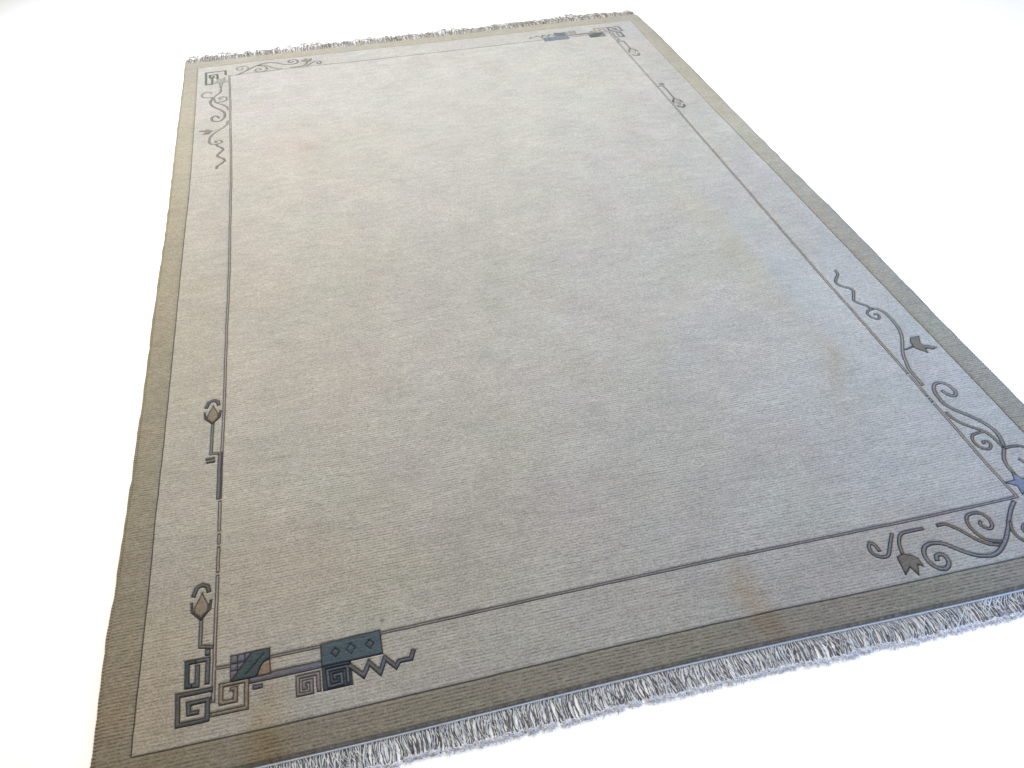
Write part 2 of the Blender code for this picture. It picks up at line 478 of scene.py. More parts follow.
def curves(*rows):
    """Smooth strokes from rows of yarn, width and points."""
    return [(yarn, stroke(through(points), width)) for yarn, width, points in rows]


def scroll_upright():
    """Beside the right frame line: scrolls, curls and a leaf that grow from a star."""
    main_stem = [
        (862.5, -685),
        (877.5, -692.5),
        (885, -712.5),
        (886, -740),
        (883.8, -770),
        (876, -797.5),
        (865, -820),
        (850, -845),
        (837.5, -870),
        (830, -895),
        (823.8, -912),
        (822.5, -935),
        (822, -975),
    ]
    snake = [
        (859.5, -506),
        (856, -525),
        (841, -542.5),
        (832.5, -560),
        (837.5, -575),
        (852.5, -590),
        (857.5, -603),
        (847.5, -622.5),
        (837.5, -642.5),
        (843.8, -657.5),
        (857.5, -672.5),
        (859, -687),
    ]
    ear = [
        (865, -688),
        (850, -690),
        (841, -701),
        (843.8, -717),
        (853, -727),
        (863, -721),
        (864, -710),
        (856, -707.5),
    ]
    scroll = [
        (852.5, -1002.5),
        (855, -1012.5),
        (862.5, -1023.8),
        (872.5, -1023.8),
        (879.5, -1012.5),
        (878.8, -995),
        (870, -981),
        (856, -976),
        (843.8, -983.8),
        (835, -1002.5),
        (832, -1025),
        (833, -1045),
        (841, -1063.8),
        (855, -1082.5),
        (867.5, -1097.5),
        (877.5, -1112.5),
        (885, -1132.5),
        (887.5, -1152.5),
        (882.5, -1175),
        (875, -1193),
    ]
    branch = [
        (821, -1067.5),
        (823, -1087.5),
        (833, -1107.5),
        (847.5, -1123.8),
        (862, -1137.5),
        (870, -1155),
        (872.5, -1175),
        (873.8, -1190),
    ]
    spiral = [
        (865, -1141),
        (850, -1141),
        (835, -1144),
        (826, -1156),
        (824.5, -1172),
        (831, -1185),
        (843, -1188),
        (853, -1180),
        (853, -1169),
        (844, -1166),
        (841, -1173),
    ]
    low_curl = [
        (876, -1195),
        (890, -1194),
        (907.5, -1198),
        (919, -1209),
        (921, -1225),
        (914, -1241),
        (901, -1247),
        (888, -1242),
        (883, -1230),
    ]
    leaf = shape(
        (880, -855),
        (878, -850),
        (880, -830),
        (890, -814),
        (913, -814),
        (901, -840),
        (905, -848),
        (917, -852),
        (931, -863),
        (915, -866),
        (902, -858),
        (899, -876),
        (889, -864),
    )
    root = [(873, -1196), (864, -1208), (853, -1225), (847.5, -1243), (848, -1268)]
    outer_fret = [
        (826, -1330),
        (826, -1384),
        (907, -1384),
        (907, -1277),
        (882, -1277),
        (882, -1318),
    ]
    inner_fret = [
        (860, -1308),
        (860, -1350),
        (891, -1350),
        (891, -1320),
        (876, -1320),
        (876, -1338),
    ]
    return [
        *curves(
            ("dusk", 6.2, snake),
            ("mist", 6.6, main_stem),
            ("dusk", 5.2, ear),
            ("dusk", 7.4, scroll),
            ("grey", 5.8, branch),
            ("grey", 5.2, spiral),
            ("grey", 6.4, root),
            ("grey", 5.4, low_curl),
            ("leaf", 4.0, [(853, -850), (866, -848), (879, -844)]),
        ),
        ("leaf", leaf),
        ("star", star(846, -1290, 33, 15, 5)),
        ("moss", stroke(outer_fret, 8.0)),
        ("teal", stroke(inner_fret, 7.5)),
    ]


def scroll_level():
    """Along the near frame line on the right: a long scroll, curls and a leaf."""
    long_scroll = [
        (561.7, -1418.5),
        (566, -1408.7),
        (576, -1406.5),
        (582.4, -1415),
        (579, -1429),
        (567, -1438),
        (554, -1435),
        (545, -1421.7),
        (544.3, -1404),
        (552, -1388),
        (566, -1380),
        (581, -1380.4),
        (596.5, -1387),
        (609.6, -1399),
        (624.8, -1413),
        (644, -1426),
        (668, -1432),
        (687.8, -1428),
        (705, -1418),
        (722.6, -1404),
        (740, -1386),
        (759.6, -1364),
        (779, -1344),
        (798, -1328),
    ]
    branch = [
        (609.6, -1343.5),
        (627, -1344.6),
        (638, -1354),
        (648.7, -1367.4),
        (659.6, -1385),
        (672.6, -1401),
        (686, -1410),
        (702, -1414),
    ]
    loop = [
        (711, -1408),
        (696.5, -1404),
        (684, -1397),
        (676, -1385),
        (671.5, -1367.4),
        (674, -1350),
        (683.5, -1337),
        (698.7, -1333),
        (713, -1338),
        (720, -1352),
        (718, -1368),
        (708.5, -1376),
        (699, -1371),
        (696, -1361),
        (701, -1355),
    ]
    left_curl = [
        (466, -1373),
        (465, -1357),
        (458.5, -1351),
        (451, -1361),
        (450, -1374),
        (457, -1384),
        (468.3, -1387),
        (478, -1384),
        (490, -1369.6),
        (503, -1352),
        (513, -1340),
    ]
    ring = [
        (757, -1371),
        (748.7, -1387),
        (747, -1404),
        (754, -1418),
        (768, -1424),
        (784, -1420),
        (794, -1406),
        (792, -1391),
        (780, -1384),
        (770, -1391),
        (769, -1402),
        (777, -1407),
    ]
    leaf_stem = [
        (505, -1390),
        (508, -1380),
        (514, -1364),
        (524.8, -1349),
        (538, -1343.5),
        (579, -1343.5),
    ]
    leaf = shape(
        (491, -1392.4),
        (505, -1388.5),
        (520.4, -1395.7),
        (528, -1406),
        (528.5, -1424),
        (519.5, -1417),
        (508.5, -1440),
        (501.5, -1419),
        (484.6, -1432.6),
        (488, -1408),
    )
    return [
        *curves(
            ("dusk", 6.0, left_curl),
            ("dusk", 6.0, leaf_stem),
            ("dusk", 7.6, long_scroll),
            ("grey", 5.8, branch),
            ("grey", 5.8, loop),
            ("grey", 5.2, ring),
        ),
        ("leaf", leaf),
    ]


def slid(drawn, stations, aside=0.0):
    """The shapes moved along the rug: each station gives a Y and where it goes."""
    stations = np.array(sorted(stations), float)
    moved = []
    for yarn, outline in drawn:
        y = np.interp(outline[:, 1], stations[:, 0], stations[:, 1])
        moved.append((yarn, np.stack([outline[:, 0] + aside, y], axis=1)))
    return moved


def turned(drawn):
    """The same shapes turned half round the rug's middle."""
    return [(yarn, -outline) for yarn, outline in drawn]


# At the far end the same shapes were knotted at slightly different heights
FAR_FRET_SLIDE = (
    (-1450, -1424),
    (-1411, -1385),
    (-1350, -1320),
    (-1297, -1265),
    (-1270, -1212),
    (-1203, -1121),
    (-1130, -1046),
    (-923, -882),
    (-786, -745),
    (-692, -635),
    (-600, -543),
)
FAR_SCROLL_SLIDE = (
    (-1400, -1400),
    (-1325, -1325),
    (-1262, -1228),
    (-1250, -1180),
    (-970, -900),
    (-850, -838),
    (-690, -725),
    (-500, -536),
)
FAR_LEVEL_RISE = 14.0


def risen(drawn, rise, aside):
    """The shapes moved nearer to the rug's middle and aside."""
    return [(yarn, outline + (aside, rise)) for yarn, outline in drawn]


def corner_shapes():
    """The shapes of the four corners, with the oblongs of pile that they need.

    Each corner is a pair: oblongs of left, bottom, right and top in metres, and its shapes."""
    fret_oblongs = np.array(
        (
            (-0.9355, -1.4395, -0.4300, -1.2600),
            (-0.9355, -1.2600, -0.7900, -0.5300),
        )
    )
    scroll_oblongs = np.array(
        (
            (0.4300, -1.4395, 0.9355, -1.2700),
            (0.7985, -1.2700, 0.9355, -0.4700),
        )
    )
    fret_levels = [level_line(-LINE_X + LINE_HALF, -783), level_line(-713, -380)]
    fret_frame = [*broken_line(-LINE_X, -1382, -500, (-926, -1012.5, -1046, -1114.5)), *fret_levels]
    far_fret_frame = [*broken_line(-LINE_X, -1350, -500, (-885, -965, -1000, -1070)), *fret_levels]
    corner = -LINE_Y - LINE_HALF
    scroll_level_line = level_line(360, LINE_X)
    scroll_frame = [*broken_line(LINE_X, corner, -380, (-934, -1014, -1034)), scroll_level_line]
    far_scroll_frame = [*broken_line(LINE_X, corner, -380, (-893, -941, -972)), scroll_level_line]
    near_left = [*fret_frame, *fret_upright(), *fret_level()]
    near_right = [*scroll_frame, *scroll_upright(), *scroll_level()]
    plain = [drawn for drawn in fret_level() if drawn[0] not in ("haze", "rust")]
    far_right = [
        *far_fret_frame,
        *slid([drawn for drawn in fret_upright() if drawn[0] != "violet"], FAR_FRET_SLIDE),
        *risen(plain, FAR_LEVEL_RISE, -4.0),
    ]
    far_left = [
        *far_scroll_frame,
        *slid(scroll_upright(), FAR_SCROLL_SLIDE),
        *risen(scroll_level(), FAR_LEVEL_RISE, -14.0),
    ]
    return (
        (fret_oblongs, near_left),
        (scroll_oblongs, near_right),
        (-fret_oblongs[:, [2, 3, 0, 1]], turned(far_right)),
        (-scroll_oblongs[:, [2, 3, 0, 1]], turned(far_left)),
    )


# The pile's surface: a lattice on the rows of knots, with finer patches where shapes are drawn

PATCH_STEP = 0.0035  # between points across a patch
OUTLINE_STEP = 0.0045  # between points along an outline
RING_STEP = 0.0032  # between points beside an outline
KEEP_OFF = 0.0013  # no loose point comes closer than this to an outline
THIN_CELL = 0.0014  # of the points beside the outlines, one to a cell of this size

FIELD_STEP = 0.0240
BORDER_STEP = 0.0120
RIM_STEPS = (0.0040, 0.0019, 0.0006, 0.0)


def lattice_line(regular, features, clear):
    """Sorted positions: the features, and the regular ones that keep clear of them."""
    features = np.array(sorted(features))
    gaps = np.abs(np.asarray(regular)[:, None] - features[None, :]).min(axis=1)
    return np.sort(np.concatenate([features, np.asarray(regular)[gaps > clear]]))


def both_sides(values):
    """Each value and its negative."""
    return [sign * value for value in values for sign in (-1.0, 1.0)]


def groove_features(line_at, band_at):
    """Positions that a carved line needs: its grooves and their rims."""
    half = LINE_WIDTH / 2.0
    across = (-GROOVE_HALF, 0.0, GROOVE_HALF)
    middles = (line_at - half, line_at + half, band_at)
    return [middle + step for middle in middles for step in across]


def unique(positions):
    """Positions with near repeats dropped."""
    return positions[np.concatenate([[True], np.diff(positions) > 2e-4])]


def lattice():
    """The lattice's columns and rows."""
    rim = HALF_WIDTH + OVERHANG
    patch_ends = (0.4300, 0.7900, 0.7985, 0.9355)
    columns = np.arange(-0.7920, 0.7921, FIELD_STEP)
    border = both_sides(np.arange(0.7985, rim - 0.006, BORDER_STEP))
    features = groove_features(LINE_AT[0], BAND_AT[0])
    rims = [rim - step for step in RIM_STEPS]
    across = lattice_line([*columns, *border], both_sides([*features, *rims, *patch_ends]), 0.0022)
    rows = -PATTERN_HALF_LENGTH + np.arange(2 * ROWS + 1) * ROW_PITCH / 2.0
    features = groove_features(LINE_AT[1], BAND_AT[1])
    rims = [PATTERN_HALF_LENGTH - step for step in RIM_STEPS]
    along = lattice_line(rows[2:-2], both_sides([*features, *rims]), 0.0012)
    return unique(across), unique(along)


def rim_drop(distance):
    """How far the pile rounds off at a distance from the rim."""
    inside = np.clip(PILE_EDGE_ROUND - distance, 0.0, PILE_EDGE_ROUND)
    return PILE_EDGE_ROUND - np.sqrt(PILE_EDGE_ROUND**2 - inside**2)


def band_distance(u, v, at):
    """Distance from a rectangle's outline that is centred on the rug."""
    out_u, out_v = np.abs(u) - at[0], np.abs(v) - at[1]
    outside = np.hypot(np.maximum(out_u, 0.0), np.maximum(out_v, 0.0))
    return np.where((out_u < 0.0) & (out_v < 0.0), -np.maximum(out_u, out_v), outside)


def straight_groove(u, v):
    """Distance to the nearest groove of the frame line or the band."""
    line = np.abs(band_distance(u, v, LINE_AT) - LINE_WIDTH / 2.0)
    return np.minimum(line, band_distance(u, v, BAND_AT))


def ground_yarn(u, v):
    """Field or guard, by which side of the frame line a point is on."""
    return np.where((np.abs(u) < LINE_AT[0]) & (np.abs(v) < LINE_AT[1]), "field", "guard").astype("<U8")


def yarn_of_cell(u, v):
    """The yarn of a lattice cell by its middle."""
    yarn = np.where(band_distance(u, v, LINE_AT) < LINE_WIDTH / 2.0, "line", ground_yarn(u, v))
    return np.where((np.abs(u) > BAND_AT[0]) | (np.abs(v) > BAND_AT[1]), "olive", yarn)


def inside_outline(points, outline):
    """Which points lie inside a closed outline."""
    inside = np.zeros(len(points), bool)
    x, y = points[:, 0], points[:, 1]
    for (x0, y0), (x1, y1) in zip(outline, np.roll(outline, -1, axis=0)):
        crosses = (y0 > y) != (y1 > y)
        if y0 != y1:
            inside ^= crosses & (x < x0 + (x1 - x0) * (y - y0) / (y1 - y0))
    return inside


def walk(outline, step):
    """Points along a closed outline, no further apart than the step."""
    points = []
    for start, end in zip(outline, np.roll(outline, -1, axis=0)):
        count = max(1, math.ceil(float(np.linalg.norm(end - start)) / step))
        points.append(start + (end - start) * np.arange(count)[:, None] / count)
    return np.vstack(points)


def beside(outline, off, step):
    """Points at a distance to both sides of a closed outline."""
    points = walk(outline, step)
    after = np.roll(points, -1, axis=0)
    ahead = after - points
    ahead /= np.maximum(np.linalg.norm(ahead, axis=1, keepdims=True), 1e-9)
    aside = np.stack([-ahead[:, 1], ahead[:, 0]], axis=1)
    middle = (points + after) / 2.0
    return np.vstack([middle + off * aside, middle - off * aside])


def thinned(points, cell):
    """The points, one to each square cell."""
    _, first = np.unique(np.floor(points / cell).astype(int), axis=0, return_index=True)
    return points[np.sort(first)]


def tree_of(points):
    """A search tree over flat points."""
    tree = KDTree(len(points))
    for index, (x, y) in enumerate(points):
        tree.insert((x, y, 0.0), index)
    tree.balance()
    return tree


def distances(tree, points):
    """Distance of each flat point from the tree's nearest."""
    return np.array([tree.find((x, y, 0.0))[2] for x, y in points])


def patch_cells(across, along, oblongs):
    """Which lattice cells a patch takes."""
    middle_u, middle_v = (across[1:] + across[:-1]) / 2.0, (along[1:] + along[:-1]) / 2.0
    taken = np.zeros((len(along) - 1, len(across) - 1), bool)
    for left, bottom, right, top in oblongs:
        columns = (middle_u > left) & (middle_u < right)
        rows = (middle_v > bottom) & (middle_v < top)
        taken |= rows[:, None] & columns[None, :]
    return taken


def patch_border(taken):
    """Lattice edges between taken and free cells, as pairs of vertex numbers."""
    columns = taken.shape[1]
    padded = np.pad(taken, 1)
    edges = []
    upright = padded[1:-1, 1:] != padded[1:-1, :-1]
    for row, column in zip(*np.nonzero(upright)):
        start = row * (columns + 1) + column
        edges.append((start, start + columns + 1))
    level = padded[1:, 1:-1] != padded[:-1, 1:-1]
    for row, column in zip(*np.nonzero(level)):
        start = row * (columns + 1) + column
        edges.append((start, start + 1))
    return edges


def cell_taken(points, across, along, taken):
    """Whether each point lies in a taken cell."""
    column = np.clip(np.searchsorted(across, points[:, 0]) - 1, 0, taken.shape[1] - 1)
    row = np.clip(np.searchsorted(along, points[:, 1]) - 1, 0, taken.shape[0] - 1)
    return taken[row, column]


def loose_points(across, along, taken, rim_points, outlines):
    """Points inside a patch: beside its outlines, and on the rows of knots between."""
    outline_tree = tree_of(np.vstack([walk(outline, MM) for outline in outlines]))
    rings = np.vstack([beside(outline, GROOVE_HALF, RING_STEP) for outline in outlines])
    rings = thinned(rings, THIN_CELL)
    rings = rings[cell_taken(rings, across, along, taken)]
    rings = rings[distances(outline_tree, rings) > 0.8 * GROOVE_HALF]
    rings = rings[distances(tree_of(rim_points), rings) > KEEP_OFF]

    low, high = rim_points.min(axis=0), rim_points.max(axis=0)
    loose_v = along[(along > low[1]) & (along < high[1])]
    loose_u = np.arange(low[0] + PATCH_STEP / 2.0, high[0], PATCH_STEP)
    mesh_u, mesh_v = np.meshgrid(loose_u, loose_v)
    mesh_u[1::2] += PATCH_STEP / 2.0
    loose = np.stack([mesh_u.ravel(), mesh_v.ravel()], axis=1)
    loose = loose[cell_taken(loose, across, along, taken)]
    loose = loose[distances(outline_tree, loose) > KEEP_OFF]
    loose = loose[distances(tree_of(np.vstack([rim_points, rings])), loose) > KEEP_OFF]
    return np.vstack([rings, loose])


def fill_patch(across, along, taken, drawn):
    """Triangulates a patch round its drawn outlines.

    Returns its points, the lattice vertex each one is or -1, its triangles, the yarn of
    each triangle, and each point's distance to the nearest groove."""
    grid_u, grid_v = np.meshgrid(across, along)
    lattice_points = np.stack([grid_u.ravel(), grid_v.ravel()], axis=1)
    border = patch_border(taken)
    rim = sorted({vertex for edge in border for vertex in edge})
    number = {vertex: index for index, vertex in enumerate(rim)}
    outlines = [outline * DRAWN for _, outline in drawn]
    points = [lattice_points[rim]]
    edges = [(number[a], number[b]) for a, b in border]
    count = len(rim)
    for outline in outlines:
        steps = walk(outline, OUTLINE_STEP)
        edges += [(count + i, count + (i + 1) % len(steps)) for i in range(len(steps))]
        points.append(steps)
        count += len(steps)
    points.append(loose_points(across, along, taken, points[0], outlines))

    flat = np.vstack(points) / MM
    made = delaunay_2d_cdt([Vector(point) for point in flat.tolist()], edges, [], 0, 1e-3)
    found = np.array([tuple(point) for point in made[0]]) * MM
    triangles = np.array([face for face in made[2] if len(face) == 3])
    triangles = triangles[cell_taken(found[triangles].mean(axis=1), across, along, taken)]
    middles = found[triangles].mean(axis=1)
    owner = np.full(len(found), -1)
    for index, sources in enumerate(made[3]):
        if sources and min(sources) < len(rim):
            owner[index] = rim[min(sources)]

    yarns = ground_yarn(middles[:, 0], middles[:, 1])
    for (yarn, _), outline in zip(drawn, outlines):
        if yarn != "cut":
            yarns[inside_outline(middles, outline)] = yarn

    # Grooves run where two different yarns meet, and along the thin cuts
    kinds = np.where(yarns == "field", "guard", yarns)
    sides = {}
    for triangle, kind in zip(triangles.tolist(), kinds.tolist()):
        for a, b in zip(triangle, triangle[1:] + triangle[:1]):
            sides.setdefault((min(a, b), max(a, b)), set()).add(kind)
    grooves = np.array([edge for edge, kind in sides.items() if len(kind) > 1])
    start, end = found[grooves[:, 0]], found[grooves[:, 1]]
    samples = np.vstack([start + (end - start) * share for share in (0.0, 0.2, 0.4, 0.6, 0.8, 1.0)])
    cut = distances(tree_of(samples), found)
    thin = [walk(outline, MM) for (yarn, _), outline in zip(drawn, outlines) if yarn == "cut"]
    if thin:
        cut = np.minimum(cut, CUT_SHARPNESS * distances(tree_of(np.vstack(thin)), found))
    return found, owner, triangles, yarns, cut


def row_relief(u, v):
    """Depth between the rows of knots, broken and uneven as the rows are."""
    phase = (v + PATTERN_HALF_LENGTH) / ROW_PITCH
    nearest = np.round(phase)
    strength = 0.62 + 0.45 * noise(u, nearest, 0.045, 1.0, 41) + 0.25 * noise(u, v, 0.30, 0.22, 42)
    return ROW_DEPTH * np.clip(strength, 0.1, 1.3) * (1.0 + np.cos(2.0 * math.pi * phase)) / 2.0


# Stains and worn places, with some painted highlights and painted warm and cool light among them
STAINS_AND_LIGHT = (
    # x, y, half length, half width, degrees from X, red, green, blue, strength
    # painted highlight: a bluish, lighter streak along the ridge of the first crease
    (0.690, -0.380, 0.500, 0.035, 91.0, 0.98, 1.01, 1.08, 0.80),
    (0.620, -0.300, 0.550, 0.060, 93.0, 1.00, 0.97, 0.88, 0.70),
    # darker and browner along the lower end of the first crease
    (0.640, -0.850, 0.160, 0.022, 70.0, 0.94, 0.87, 0.78, 0.80),
    # painted highlight: bluish and lighter along the second crease
    (0.400, -0.640, 0.260, 0.050, 48.0, 0.99, 1.02, 1.09, 0.70),
    (0.240, -0.870, 0.260, 0.070, 75.0, 0.96, 0.96, 0.94, 0.80),
    (0.500, -0.500, 0.300, 0.120, 60.0, 1.00, 0.98, 0.91, 0.60),
    (-0.560, 0.620, 0.190, 0.140, 80.0, 1.00, 0.95, 0.92, 0.75),
    (-0.540, 0.580, 0.060, 0.030, 80.0, 0.97, 0.90, 0.87, 0.70),
    # slightly darker along the third crease
    (-0.200, 0.500, 0.420, 0.030, 2.0, 0.97, 0.96, 0.94, 0.60),
    (-0.730, -1.450, 0.085, 0.035, 90.0, 0.88, 0.75, 0.55, 0.95),
    (0.175, -1.420, 0.100, 0.028, 95.0, 0.90, 0.80, 0.64, 0.90),
    (0.480, -1.370, 0.340, 0.070, 4.0, 0.93, 0.88, 0.85, 0.90),
    # painted warm light: yellower at the near-left corner
    (-0.940, -1.400, 0.200, 0.110, 80.0, 0.99, 0.92, 0.80, 0.90),
    # painted cool light: the right band lighter and bluish, and bluish at its far end
    (0.985, 0.250, 0.420, 0.060, 90.0, 1.13, 1.15, 1.18, 0.90),
    (0.960, 1.350, 0.300, 0.090, 90.0, 0.96, 0.98, 1.04, 0.90),
    # painted warm light: yellower towards the near-left
    (-0.620, -1.160, 0.320, 0.130, 0.0, 1.00, 0.97, 0.89, 0.90),
    (-0.510, -1.280, 0.004, 0.004, 0.0, 0.50, 0.50, 0.50, 0.90),
    (-0.340, -1.300, 0.004, 0.004, 0.0, 0.50, 0.50, 0.50, 0.90),
)


def stain_and_light_tint(x, y):
    """Red, green and blue factors of the stains and worn places, and of painted highlights and painted
    warm and cool light, at floor points.
    """
    tint = np.ones((len(x), 3))
    for centre_x, centre_y, half_length, half_width, degrees, red, green, blue, strength in STAINS_AND_LIGHT:
        turn = math.radians(degrees)
        ragged = min(0.035, half_width)
        ragged_x = x + ragged * noise(x, y, 0.09, 0.09, 51)
        ragged_y = y + ragged * noise(x, y, 0.09, 0.09, 52)
        along = (ragged_x - centre_x) * math.cos(turn) + (ragged_y - centre_y) * math.sin(turn)
        across = (ragged_y - centre_y) * math.cos(turn) - (ragged_x - centre_x) * math.sin(turn)
        weight = strength * np.exp(-((along / half_length) ** 2) - (across / half_width) ** 2)
        tint *= 1.0 + weight[:, None] * (np.array([red, green, blue]) - 1.0)
    return tint


BAND_PAINTED_LIGHT = np.array(
    (
        # y, how light the olive band is made there: painted light and shade, darker at the near end and
        # lighter towards the far one
        (-1.50, 0.84),
        (-1.44, 0.86),
        (-1.36, 0.95),
        (-1.00, 1.00),
        (-0.50, 1.05),
        (0.00, 1.08),
        (0.60, 1.21),
        (1.36, 1.17),
        (1.44, 1.19),
        (1.50, 1.22),
    )
)
FIELD_PAINTED_LIGHT = np.array(
    (
        # y, how light the cream pile is made there: painted light and shade along the rug's length
        (-1.50, 0.89),
        (-1.20, 0.905),
        (-0.90, 0.94),
        (-0.60, 0.96),
        (-0.30, 0.91),
        (0.00, 0.915),
        (0.60, 0.92),
        (1.50, 0.935),
    )
)
GUARD_SHADE = 0.965  # of the cream pile outside the frame line
# y, how strong the painted shade between the rows is there: fainter towards the far end
ROW_SHADE_FADE = np.array(((-1.50, 1.00), (-0.90, 0.95), (-0.30, 0.70), (0.40, 0.48), (1.50, 0.36)))
FAR_PAINTED_LIGHT = {
    # painted light: how much lighter each drawn yarn is made towards the far end: red, green, blue
    "slate": (1.75, 1.65, 1.45),
    "dusk": (1.00, 0.95, 0.86),
    "charcoal": (1.40, 1.35, 1.25),
    "teal": (1.75, 1.42, 1.20),
    "petrol": (2.20, 1.75, 1.70),
    "deep": (1.90, 1.70, 1.55),
    "violet": (1.40, 1.30, 1.15),
    "checks": (1.10, 1.25, 1.05),
    "mauve": (1.15, 1.15, 1.10),
    "grey": (1.08, 1.12, 1.10),
    "line": (1.08, 1.06, 1.02),
    "moss": (1.00, 1.02, 1.00),
    "mist": (1.10, 1.05, 1.00),
    "star": (1.72, 1.42, 0.95),
    "leaf": (1.40, 1.40, 1.40),
    "bud": (1.60, 1.72, 1.90),
    "beige": (1.15, 1.20, 1.30),
}
FAR_FROM, FAR_TO = 0.1, 1.1  # Y where the far end's painted light, and the fading of the grooves' painted shade, start and are full
FAR_GROOVE_SHADE_FADE = 0.56  # how much of the grooves' painted shade fades there, though less of the frame line's
ROLLED_PAINTED_LIGHT = np.array((2.40, 2.46, 2.70))  # painted light on the pile that rolls over the rug's near end, which the lamps leave in shade


def mesh_piece(name, points, faces, finish, attributes=()):
    """A smooth mesh object on the rug's body, with one value or colour for each point."""
    mesh = bpy.data.meshes.new(name)
    mesh.from_pydata(points.tolist(), [], faces.tolist())
    mesh.polygons.foreach_set("use_smooth", np.ones(len(faces), bool))
    for label, values in attributes:
        if values.ndim == 1:
            layer = mesh.attributes.new(label, "FLOAT", "POINT")
            layer.data.foreach_set("value", values.astype(np.float32))
        else:
            layer = mesh.attributes.new(label, "FLOAT_COLOR", "POINT")
            full = np.hstack([values, np.ones((len(values), 1))])
            layer.data.foreach_set("color", full.astype(np.float32).ravel())
    mesh.materials.append(finish)
    piece = bpy.data.objects.new(name, mesh)
    bpy.context.scene.collection.objects.link(piece)
    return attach(piece, "root")


def knotted_surface():
    """Points of the pile in the pattern, their grooves and drops, and its triangles by yarn."""
    across, along = lattice()
    # The last line on each side is doubled for the cut pile that reaches down
    columns = np.concatenate([across[:1], across, across[-1:]])
    rows = np.concatenate([along[:1], along, along[-1:]])
    grid_u, grid_v = np.meshgrid(columns, rows)
    drop_u = rim_drop(HALF_WIDTH + OVERHANG - np.abs(columns))
    drop_v = rim_drop(PATTERN_HALF_LENGTH - np.abs(rows))
    drop_u[[0, -1]] = SKIRT
    drop_v[[0, -1]] = SKIRT
    drops = [np.maximum(drop_u[None, :], drop_v[:, None]).ravel()]
    points = [np.stack([grid_u.ravel(), grid_v.ravel()], axis=1)]
    grooves = [straight_groove(grid_u.ravel(), grid_v.ravel())]

    triangles, yarns = [], []
    free = np.ones((len(rows) - 1, len(columns) - 1), bool)
    count = len(points[0])
    for oblongs, drawn in corner_shapes():
        taken = patch_cells(columns, rows, oblongs)
        found, owner, faces, kinds, cut = fill_patch(columns, rows, taken, drawn)
        new = owner < 0
        number = np.where(new, count + np.cumsum(new) - 1, owner)
        count += int(new.sum())
        points.append(found[new])
        grooves.append(cut[new])
        drops.append(np.zeros(int(new.sum())))
        triangles.append(number[faces])
        yarns.append(kinds)
        free &= ~taken
    row, column = np.nonzero(free)
    first = row * len(columns) + column
    above = first + len(columns)
    triangles.append(np.stack([first, first + 1, above + 1], axis=1))
    triangles.append(np.stack([first, above + 1, above], axis=1))
    middle_u = (columns[column] + columns[column + 1]) / 2.0
    middle_v = (rows[row] + rows[row + 1]) / 2.0
    kinds = yarn_of_cell(middle_u, middle_v)
    yarns += [kinds, kinds]
    grooves, drops, yarns = (np.concatenate(part) for part in (grooves, drops, yarns))
    return np.vstack(points), grooves, drops, np.vstack(triangles), yarns


